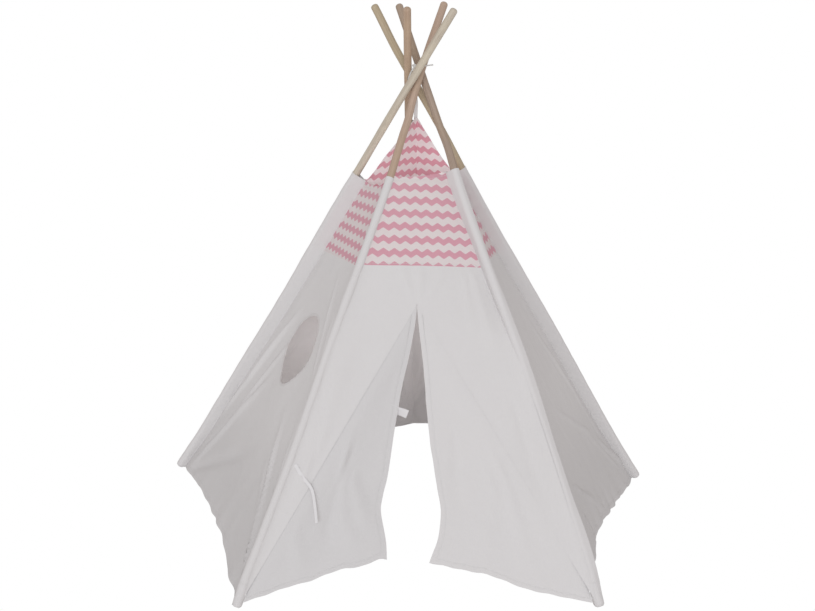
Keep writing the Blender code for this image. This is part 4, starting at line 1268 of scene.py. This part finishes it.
def window_wall():
    """The left wall's larger half, with its round window: points on a circle are joined to a cut lattice."""
    from mathutils.geometry import delaunay_2d_cdt
    pan = PANEL["left"]
    pole = pan.b
    cols = 62
    s = half_columns("left", False, cols)
    lo, hi = pan.hem(s), seam_line("left", s)
    r = rows_between(lo, hi, HEM_STEPS, 92, [0.0])
    S = np.broadcast_to(s, r.shape)
    w = pan.width(r)
    u, y = (S - 0.5) * w, r * UP_SCALE
    du, dy = u - WIN[0], y - WIN[1]
    dist = np.hypot(du, dy)
    keep = dist > win_radius(np.arctan2(dy, du)) + 0.0065
    border = np.zeros_like(keep)
    border[0, :] = border[-1, :] = border[:, 0] = border[:, -1] = True
    idx = -np.ones(r.shape, int)
    pts2, par = [], []
    for i in range(r.shape[0]):
        for j in range(r.shape[1]):
            if keep[i, j] or border[i, j]:
                idx[i, j] = len(pts2)
                pts2.append((u[i, j], y[i, j]))
                par.append((S[i, j], r[i, j]))
    ring = []
    n_ring = 96
    for k in range(n_ring):
        th = 2 * math.pi * k / n_ring
        edge_r = float(win_radius(th))
        for rr in (edge_r, edge_r + 0.0035):
            uu, yy = WIN[0] + rr * math.cos(th), WIN[1] + rr * math.sin(th)
            r_ = yy / UP_SCALE
            w_ = float(pan.width(np.array([r_]))[0])
            if rr == edge_r:
                ring.append(len(pts2))
            pts2.append((uu, yy))
            par.append((uu / w_ + 0.5, r_))
    outline = list(idx[0, :]) + list(idx[1:, -1]) + list(idx[-1, -2::-1]) + list(idx[-2:0:-1, 0])
    edges = [(outline[k], outline[(k + 1) % len(outline)]) for k in range(len(outline))]
    edges += [(ring[k], ring[(k + 1) % n_ring]) for k in range(n_ring)]
    res = delaunay_2d_cdt([Vector(q) for q in pts2], edges, [], 0, 1e-7)
    v2, tri, orig = res[0], res[2], res[3]
    assert len(v2) == len(pts2), (len(v2), len(pts2))
    order = [o[0] for o in orig]
    par = np.array(par)[order]
    xy = np.array([(v.x, v.y) for v in v2])
    poly = np.array([pts2[k] for k in outline])

    def inside(q):
        x, yv = q
        c = False
        x1, y1 = poly[:, 0], poly[:, 1]
        x2, y2 = np.roll(x1, -1), np.roll(y1, -1)
        cond = ((y1 > yv) != (y2 > yv))
        with np.errstate(divide="ignore", invalid="ignore"):
            xi = (x2 - x1) * (yv - y1) / (y2 - y1) + x1
        return np.count_nonzero(cond & (x < xi)) % 2 == 1

    faces = []
    for t in tri:
        c = xy[list(t)].mean(0)
        if math.hypot(c[0] - WIN[0], c[1] - WIN[1]) < float(win_radius(math.atan2(c[1] - WIN[1], c[0] - WIN[0]))) - 0.0002:
            continue
        if not inside(c):
            continue
        q = xy[list(t)]
        if abs((q[1, 0] - q[0, 0]) * (q[2, 1] - q[0, 1]) - (q[1, 1] - q[0, 1]) * (q[2, 0] - q[0, 0])) < 1e-10:
            continue
        if ((q[1, 0] - q[0, 0]) * (q[2, 1] - q[0, 1]) - (q[1, 1] - q[0, 1]) * (q[2, 0] - q[0, 0])) < 0:
            t = t[::-1]
        faces.append(tuple(t))
    sv, rv = par[:, 0], par[:, 1]
    pts, nrm = pan.point(sv, rv), pan.normal(sv, rv)
    th = 0.0009
    uu = (sv - 0.5) * pan.width(rv)
    hemv = rv - pan.hem(sv)
    extra = 0.00035 * (1 - smoothstep(hemv, 0.0155, 0.0170))
    # tuck: the last column continues into the sleeve's seam
    inv = {o: k for k, o in enumerate(order)}
    edge_ids = [inv[int(i)] for i in idx[:, -1]]
    tuck = tucked("left", pole, rv[edge_ids], pts[edge_ids])
    tuck[:, 2] = np.maximum(tuck[:, 2], 0.0012)
    base = len(pts)
    pts = np.vstack([pts, tuck]); nrm = np.vstack([nrm, nrm[edge_ids]])
    uu = np.concatenate([uu, uu[edge_ids]]); rv = np.concatenate([rv, rv[edge_ids]])
    hemv = np.concatenate([hemv, hemv[edge_ids]]); extra = np.concatenate([extra, extra[edge_ids]])
    for k in range(len(edge_ids) - 1):
        faces.append((edge_ids[k], base + k, edge_ids[k + 1]))
        faces.append((base + k, base + k + 1, edge_ids[k + 1]))
    faces = np.array(faces)
    n = len(pts)
    front = pts + nrm * (th / 2 + extra)[:, None]
    back = pts - nrm * th / 2
    verts = np.vstack([front, back])
    seen = {}
    for f in faces:
        for a, b in ((f[0], f[1]), (f[1], f[2]), (f[2], f[0])):
            seen[(a, b)] = True
    rim = np.array([(b, a, a + n, b + n) for (a, b) in seen if (b, a) not in seen])
    ln = [nrm[faces].reshape(-1, 3), -nrm[faces[:, ::-1]].reshape(-1, 3)]
    q = verts[rim]
    rn = np.cross(q[:, 1] - q[:, 0], q[:, 3] - q[:, 0])
    rn /= np.maximum(np.linalg.norm(rn, axis=1, keepdims=True), 1e-12)
    ln.append(np.repeat(rn, 4, axis=0))
    allf = [tuple(f) for f in faces] + [tuple(f[::-1] + n) for f in faces] + [tuple(f) for f in rim]
    two = lambda a: np.concatenate([a, a])
    uvs = {"cloth": two(np.stack([uu, rv], 1)), "hem": two(np.stack([uu, hemv], 1))}
    ob = mesh_object("left_wall_cloth_at_front_left", verts, allf, CANVAS_SIDE, uvs, True, np.concatenate(ln))
    e1, e2 = pts[faces[:, 1]] - pts[faces[:, 0]], pts[faces[:, 2]] - pts[faces[:, 0]]
    area = float(0.5 * np.linalg.norm(np.cross(e1, e2), axis=1).sum())
    return ob, area, pole


# the window's place on the left wall, in metres from the panel's middle and up the panel
_mid = lambda r: (P["left"].seam(np.array([r]))[0] + P["front_left"].seam(np.array([r]))[0]) / 2
UP_SCALE = float(np.linalg.norm(_mid(0.9) - _mid(0.1)) / 0.8)
WIN = (-0.0042, 0.6157)
# the round hole as the pull of the cloth draws it: radius by the angle round it, in degrees
_hole = [(-155, .1260), (-126, .1180), (-98, .1240), (-78, .1150), (-60, .1070), (-29, .1065), (0, .1165), (31, .1170), (58, .1180),
         (85, .1175), (108, .1155), (131, .1175), (161, .1290), (182, .1280)]
_hole_curve = curve([(a - 360, m) for a, m in _hole[-3:]] + _hole + [(a + 360, m) for a, m in _hole[:3]])


def win_radius(th):
    deg = np.degrees(np.asarray(th, float))
    return _hole_curve((deg + 180.0) % 360.0 - 180.0)


for panel in PANELS:
    for first in (True, False):
        for kind in ("wall", "top"):
            if panel == "front" and kind == "wall":
                continue
            pan = PANEL[panel]
            pole = pan.a if first else pan.b
            node = f"{panel}_{kind}_at_{pole}"
            if panel == "left" and kind == "wall" and not first:
                ob, area, pole = window_wall()
                w_all = float(pan.width(np.array([0.03]))[0]) * (1 - pan.split)
                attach(ob, BODY[pole]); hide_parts(node); squash_along(ob, pole, panel)
                SHEETS.append((ob.name, round(w_all, 3), 0.97, round(area, 4)))
                continue
            pan, pole, pts, nrm, maps, extra, name, r, S = panel_half(panel, first, kind)
            mat = PRINT if kind == "top" else CANVAS_SIDE
            # the back panels' inner sides: painted light on the printed top, painted shade on the plain wall
            inner = None if "back" not in panel else (PRINT_INNER_PAINTED_LIGHT if kind == "top" else CANVAS_INNER_PAINTED_SHADE)
            ob, area = cloth_piece(name, pts, nrm, maps, mat, extra, inner=inner)
            finish_cloth(ob, area, pts, panel, pole, BODY[pole], node)


# window binding: a folded strip of cloth over the hole's edge
def window_ring():
    pan = PANEL["left"]
    n, K = 144, 14
    th = 2 * np.pi * np.arange(n) / n

    def on(rad):
        uu, yy = WIN[0] + rad * np.cos(th), WIN[1] + rad * np.sin(th)
        r_ = yy / UP_SCALE
        return pan.point(uu / pan.width(r_) + 0.5, r_), pan.normal(uu / pan.width(r_) + 0.5, r_)
    c, nr = on(win_radius(th) - 0.0028)
    o, _ = on(win_radius(th) + 0.0022)
    radial = o - c
    radial /= np.linalg.norm(radial, axis=1, keepdims=True)
    ph = 2 * np.pi * np.arange(K) / K
    px = np.sign(np.cos(ph)) * np.abs(np.cos(ph)) ** 0.5 * 0.0042
    pz = np.sign(np.sin(ph)) * np.abs(np.sin(ph)) ** 0.7 * 0.0009
    pz = pz[None, :] + 0.00012 * np.sin(th * 37)[:, None]
    rings = c[:, None, :] + radial[:, None, :] * px[None, :, None] + nr[:, None, :] * pz[..., None]
    us = np.tile(np.linspace(0, 0.020, K + 1), (n + 1, 1))
    vs = np.tile(np.linspace(0, 2 * math.pi * 0.1155, n + 1)[:, None], (1, K + 1))
    ob = loft("window_edge_binding", rings, BINDING_PAINTED_SHADE, {"cloth": (us, vs)}, closed=True)
    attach(ob, BODY["front_left"]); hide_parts("window_binding")
    squash_along(ob, "front_left", "left")
    return ob


window_ring()

# ------------------------------------------------------------------ front wall: fixed parts and door flaps
FRONT = PANEL["front"]


def front_fixed(left):
    pole = A_ if left else B_
    door = "left_door" if left else "right_door"
    rows, cols = 118, 34
    t = np.linspace(0, 1, rows + 1)
    w_low = float(np.linalg.norm(P[B_].at(.045) - P[A_].at(.045)))
    # outer edge runs up the sleeve's seam, inner edge up the crease and then the middle line
    r_out = 0.010 + (SEAM - 0.010) * t
    split_t = 0.80
    r_in = np.where(t < split_t, 0.045 + (0.862 - 0.045) * t / split_t, 0.862 + (SEAM - 0.862) * (t - split_t) / (1 - split_t))
    w, s_a, _, s_b, _ = FRONT.edges(r_in)
    above = np.clip((r_in - 0.862) / (SEAM - 0.862), 0, 1)
    sc_mid = 0.5 - SLIT_OFF * (1 - above) / w
    sc_in = np.where(t < split_t, FRONT.crease_share(r_in, left), sc_mid)
    _, sa_o, _, sb_o, _ = FRONT.edges(r_out)
    sc_out = sa_o if left else sb_o
    q = np.linspace(0, 1, cols + 1)
    sc = sc_out[:, None] + (sc_in - sc_out)[:, None] * q
    r = r_out[:, None] + (r_in - r_out)[:, None] * q
    if not left:
        sc, r = sc[:, ::-1], r[:, ::-1]
    pts = FRONT.cad(sc, r)
    e = 0.0015
    ts = FRONT.cad(sc + e / 0.7, r) - FRONT.cad(sc - e / 0.7, r)
    tr = FRONT.cad(sc, r + e) - FRONT.cad(sc, r - e)
    nrm = np.cross(ts, tr)
    nrm /= np.linalg.norm(nrm, axis=-1, keepdims=True)
    w = np.linalg.norm(P[B_].at(r) - P[A_].at(r), axis=-1)
    u = (sc - 0.5) * w
    cloth = np.stack([u, r], -1)
    hem = np.stack([u, r * 0 + 0.2], -1)
    pts, nrm, (cloth, hem) = add_tuck(pts, nrm, [cloth, hem], "front", pole, r_out, left)
    name = f"front_wall_cloth_at_{pole}"
    ob, area = cloth_piece(name, pts, nrm, {"cloth": cloth, "hem": hem}, CANVAS)
    finish_cloth(ob, area, pts, "front", pole, BODY[pole], f"front_wall_at_{pole}")


front_fixed(True)
front_fixed(False)

# free edges of the doors: (pole distance, metres from the middle, metres behind the wall's plane)
FREE = {
    True: [(.862, .0100, .000), (.8358, .0111, .002), (.7775, .0183, .007), (.7082, .0316, .015), (.6448, .0442, .022), (.5641, .0585, .029),
           (.4953, .0685, .034), (.4496, .0744, .038), (.4040, .0804, .041), (.3584, .0869, .043), (.3130, .0969, .045), (.2677, .1039, .046),
           (.2451, .1013, .046), (.2225, .0966, .045), (.1775, .0881, .043), (.1243, .0864, .040)],
    False: [(.862, -.0100, .000), (.8354, -.0079, .000), (.7881, -.0030, .0005), (.7411, .0022, .001), (.70, .0070, .0015), (.607, .0148, .003),
            (.5146, .0224, .004), (.4688, .0275, .0045), (.4231, .0337, .005), (.3777, .0408, .005), (.3324, .0478, .005), (.2873, .0552, .005),
            (.2649, .0572, .005), (.2201, .0545, .004), (.1755, .0465, .003), (.1533, .0372, .002), (.1229, .0255, .001)],
}


def door_flap(left):
    pole = A_ if left else B_
    door = "left_door" if left else "right_door"
    low, crease, out = HINGE[door]
    rows, cols = 100, 34
    t = np.linspace(0.004, 1, rows + 1)
    q = np.linspace(0, 1, cols + 1)
    fr = FREE[left]
    par = [(0.862 - f[0]) / (0.862 - fr[-1][0]) for f in fr]
    cr, cx, cd = (curve([(a, f[k]) for a, f in zip(par, fr)]) for k in (0, 1, 2))
    w_of = lambda r: np.linalg.norm(P[B_].at(r) - P[A_].at(r), axis=-1)
    sign = -1 if left else 1

    def plane(r, x):
        return cad_grid(0.5 + sign * x / w_of(r), r)

    def cad_grid(sc, r):
        return P[A_].at(r) * (1 - sc)[..., None] + P[B_].at(r) * sc[..., None]

    crease_pts = SLIT[None, :] + (low - SLIT)[None, :] * t[:, None]
    wav = wave_noise(t, 5 + left, 0.0010, 0.08, 0.3)
    free_pts = plane(cr(t), cx(t) + wav * smoothstep(t, 0, .3) * 0.6) - out * cd(t)[:, None]
    # hem from the crease's lowest point, down beside the sleeve, to the free edge
    w_b = float(w_of(np.array([0.045]))[0])
    s0 = float(np.linalg.norm(low - P[A_].at(.045)) / w_b)
    s1 = 0.5 + sign * float(cx(1.0)) / float(w_of(np.array([cr(1.0)]))[0])
    qq = np.clip((q - 0.05) / 0.95, 0, 1)
    drop = np.clip(q / 0.05, 0, 1)
    by_pole = 0.0120 / float(w_of(np.array([0.012]))[0])
    by_pole = by_pole if left else 1 - by_pole
    s_h = s0 + (s1 - s0) * qq + (by_pole - s0) * drop * (1 - smoothstep(qq, 0.0, 0.10))
    r_h = FRONT.hem(s_h)
    r_h = 0.045 + (r_h - 0.045) * drop
    r_h = r_h + (float(cr(1.0)) - r_h[-1]) * smoothstep(qq, 0.75, 1.0)
    r_h = r_h + 0.45 * (float(cd(1.0)) - (0.020 if left else 0.001)) * qq
    hem_pts = cad_grid(s_h, r_h) - out * (float(cd(1.0)) * qq ** 1.0)[:, None]
    T, Q = t[:, None, None], q[None, :, None]
    ruled = crease_pts[:, None] * (1 - Q) + free_pts[:, None] * Q
    bottom = crease_pts[-1] * (1 - q)[:, None] + free_pts[-1] * q[:, None]
    pts = ruled + (hem_pts - bottom)[None] * T ** 3
    # the cloth leaves the crease in the wall's own plane and only then falls back
    soft = 0.16
    late = (np.sqrt(Q[..., 0] ** 2 + soft ** 2) - soft) / (math.sqrt(1 + soft ** 2) - soft)
    pts = pts + out * (cd(t)[:, None] * (Q[..., 0] - late))[..., None]
    # soft bulges and folds that die out at the crease
    span = np.linalg.norm(free_pts - crease_pts, axis=1)[:, None]
    x = Q[..., 0] * span
    fade = smoothstep(x, 0.0, 0.06)
    bul = DOOR_FORM[left](Q[..., 0] + 0 * x, T[..., 0] + 0 * x)
    pts = pts + out * (fade * bul)[..., None]
    pts[..., 2] = np.maximum(pts[..., 2], 0.0012)
    if not left:
        pts = pts[:, ::-1]
    du = np.gradient(pts, axis=1)
    dr = -np.gradient(pts, axis=0)
    nrm = np.cross(du, dr)
    nrm /= np.maximum(np.linalg.norm(nrm, axis=-1, keepdims=True), 1e-12)
    to_free = (1 - Q[..., 0]) * span
    seg = np.linalg.norm(np.diff(pts, axis=0), axis=2)
    down = np.concatenate([np.cumsum(seg[::-1], axis=0)[::-1], np.zeros((1, seg.shape[1]))], 0)
    to_free = to_free if left else to_free[:, ::-1]
    edge = np.minimum(to_free, down)
    along = np.where(to_free < down, down, to_free)
    px = pts[..., 0]
    cloth = np.stack([px, T[..., 0] * 0.86 + 0 * px], -1)
    hem = np.stack([along, edge], -1)
    extra = 0.00035 * (1 - smoothstep(edge, 0.0150, 0.0170))
    # one more column behind the wall at the crease, so that no gap shows there
    first = 0 if left else -1
    away = pts[:, first] - pts[:, 4 if left else -5]
    away /= np.linalg.norm(away, axis=1, keepdims=True)
    col = pts[:, first] + away * 0.0040 - nrm[:, first] * 0.0012
    wrap = (lambda v, new: np.concatenate([new[:, None], v], 1)) if left else (lambda v, new: np.concatenate([v, new[:, None]], 1))
    pts, nrm, cloth, hem, extra = wrap(pts, col), wrap(nrm, nrm[:, first]), wrap(cloth, cloth[:, first]), wrap(hem, hem[:, first]), wrap(extra, extra[:, first])
    pts, nrm, cloth, hem, extra = pts[::-1], nrm[::-1], cloth[::-1], hem[::-1], extra[::-1]
    name = f"{door}_flap_cloth"
    # the left flap takes the cotton with painted shade
    ob, area = cloth_piece(name, pts, nrm, {"cloth": cloth, "hem": hem}, CANVAS_FLAP_PAINTED_SHADE if left else CANVAS_HEM, extra)
    flat_w = float(np.max(np.linalg.norm(pts[:, -1] - pts[:, 0], axis=-1)))
    flat_h = float(np.max(np.linalg.norm(np.diff(pts, axis=0), axis=-1).sum(0)))
    SHEETS.append((ob.name, round(flat_w, 3), round(flat_h, 3), round(area, 4)))
    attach(ob, door)
    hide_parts(f"{door}_flap")
    squash_along(ob, pole, "front")


DOOR_FORM = {
    True: lambda q, t: 0.005 * np.sin(q * 5.0 + 3.0 * t) * t + folds_qt(q, t, [(.18, .45, .85, .98, .05, .007), (.50, .62, .95, .88, .05, .007), (.35, .50, .55, .97, .05, -.005), (.10, .75, .45, 1.0, .04, .005)]),
    False: lambda q, t: 0.004 * np.sin(q * 4.0 + 2.5 * t + 1.0) * t + folds_qt(q, t, [(.3, .6, .8, .95, .06, .006), (.15, .50, .45, .98, .06, .005), (.60, .45, .90, .80, .05, -.004)]),
}


def folds_qt(q, t, lines):
    return folds(q, t, lines)


# the inner tie is sewn to the left flap's free edge
squash_along(tie_in, A_, "front")
door_flap(True)
door_flap(False)

# ------------------------------------------------------------------ floor, light
def floor_material():
    g = Graph("studio_floor")
    v = g.object_coords()
    n = g.noise(v, 3.0, 2.0)
    g.link(g.mix(n, (0.85, 0.84, 0.83), (0.87, 0.86, 0.85)), g.bsdf.inputs["Base Color"])
    g.bsdf.inputs["Roughness"].default_value = 0.9
    g.bsdf.inputs["Specular IOR Level"].default_value = 0.1
    return g.mat


def white_material(name):
    g = Graph(name)
    g.bsdf.inputs["Base Color"].default_value = (0, 0, 0, 1)
    g.bsdf.inputs["Specular IOR Level"].default_value = 0.0
    g.bsdf.inputs["Emission Color"].default_value = (1, 1, 1, 1)
    g.bsdf.inputs["Emission Strength"].default_value = 1.0
    return g.mat


def disc(name, z, material):
    bm = bmesh.new()
    bmesh.ops.create_circle(bm, cap_ends=True, segments=96, radius=70.0)
    me = bpy.data.meshes.new(name)
    bm.to_mesh(me)
    bm.free()
    ob = bpy.data.objects.new(name, me)
    ob.location = (0, 0, z)
    me.materials.append(material)
    scene.collection.objects.link(ob)
    return ob


def camera_only(ob):
    for flag in ("visible_diffuse", "visible_glossy", "visible_transmission", "visible_volume_scatter", "visible_shadow"):
        setattr(ob, flag, False)


# the floor that light bounces off, and the white that the camera sees of it, as in a cut-out studio photograph
floor = disc("floor", -0.0030, floor_material())
floor.visible_camera = False
camera_only(disc("floor_white", -0.0005, white_material("floor_white")))

# a plain white backdrop that only the camera sees
bm = bmesh.new()
bmesh.ops.create_uvsphere(bm, u_segments=64, v_segments=32, radius=65.0)
dome_mesh = bpy.data.meshes.new("backdrop")
bm.to_mesh(dome_mesh)
bm.free()
dome = bpy.data.objects.new("backdrop", dome_mesh)
scene.collection.objects.link(dome)
dome_mesh.materials.append(white_material("backdrop_white"))
camera_only(dome)

world = bpy.data.worlds.new("studio")
scene.world = world
world.use_nodes = True
bg = world.node_tree.nodes["Background"]
bg.inputs[0].default_value = (1.0, 0.965, 0.957, 1.0)
bg.inputs[1].default_value = 0.60

sun_data = bpy.data.lights.new("key", "SUN")
sun_data.energy = 0.48 * math.pi
sun_data.color = (0.90, 0.955, 1.0)
sun_data.angle = math.radians(40)
sun = bpy.data.objects.new("key", sun_data)
scene.collection.objects.link(sun)
_el, _az = math.radians(10), math.radians(-90 - 6.5)
_l = Vector((math.cos(_el) * math.cos(_az), math.cos(_el) * math.sin(_az), math.sin(_el)))
sun.rotation_euler = _l.to_track_quat("Z", "Y").to_euler()
sun.location = _l * 6

# light that the cloth's weave lets through onto the peak's inner side
glow_data = bpy.data.lights.new("glow", "AREA")
glow_data.shape = "SQUARE"
glow_data.size = 0.16
glow_data.energy = 0.046
glow_data.color = (1.0, 0.95, 0.95)
glow = bpy.data.objects.new("glow", glow_data)
scene.collection.objects.link(glow)
glow.location = (0.0, -0.115, 1.03)
glow.rotation_euler = (Vector((0.0, -0.115, 1.03)) - Vector((0.0, 0.05, 1.27))).to_track_quat("Z", "Y").to_euler()
glow.visible_camera = False

inside_data = bpy.data.lights.new("glow_inside", "POINT")
inside_data.shadow_soft_size = 0.15
inside_data.energy = 3.1
inside_data.color = (1.0, 0.975, 0.970)
inside = bpy.data.objects.new("glow_inside", inside_data)
scene.collection.objects.link(inside)
inside.location = (0.14, -0.12, 0.25)
inside.visible_camera = False

scene.view_settings.view_transform = "Standard"
scene.view_settings.look = "None"
scene.view_settings.exposure = 0.0
scene.view_settings.gamma = 1.0

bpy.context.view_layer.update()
for row in SHEETS:
    print("SHEET", *row)
print("CORDS", round(lash_len, 4), round(tail_len, 4), round(hang_len, 4), round(tie_len, 4), round(tie_in_len, 4))
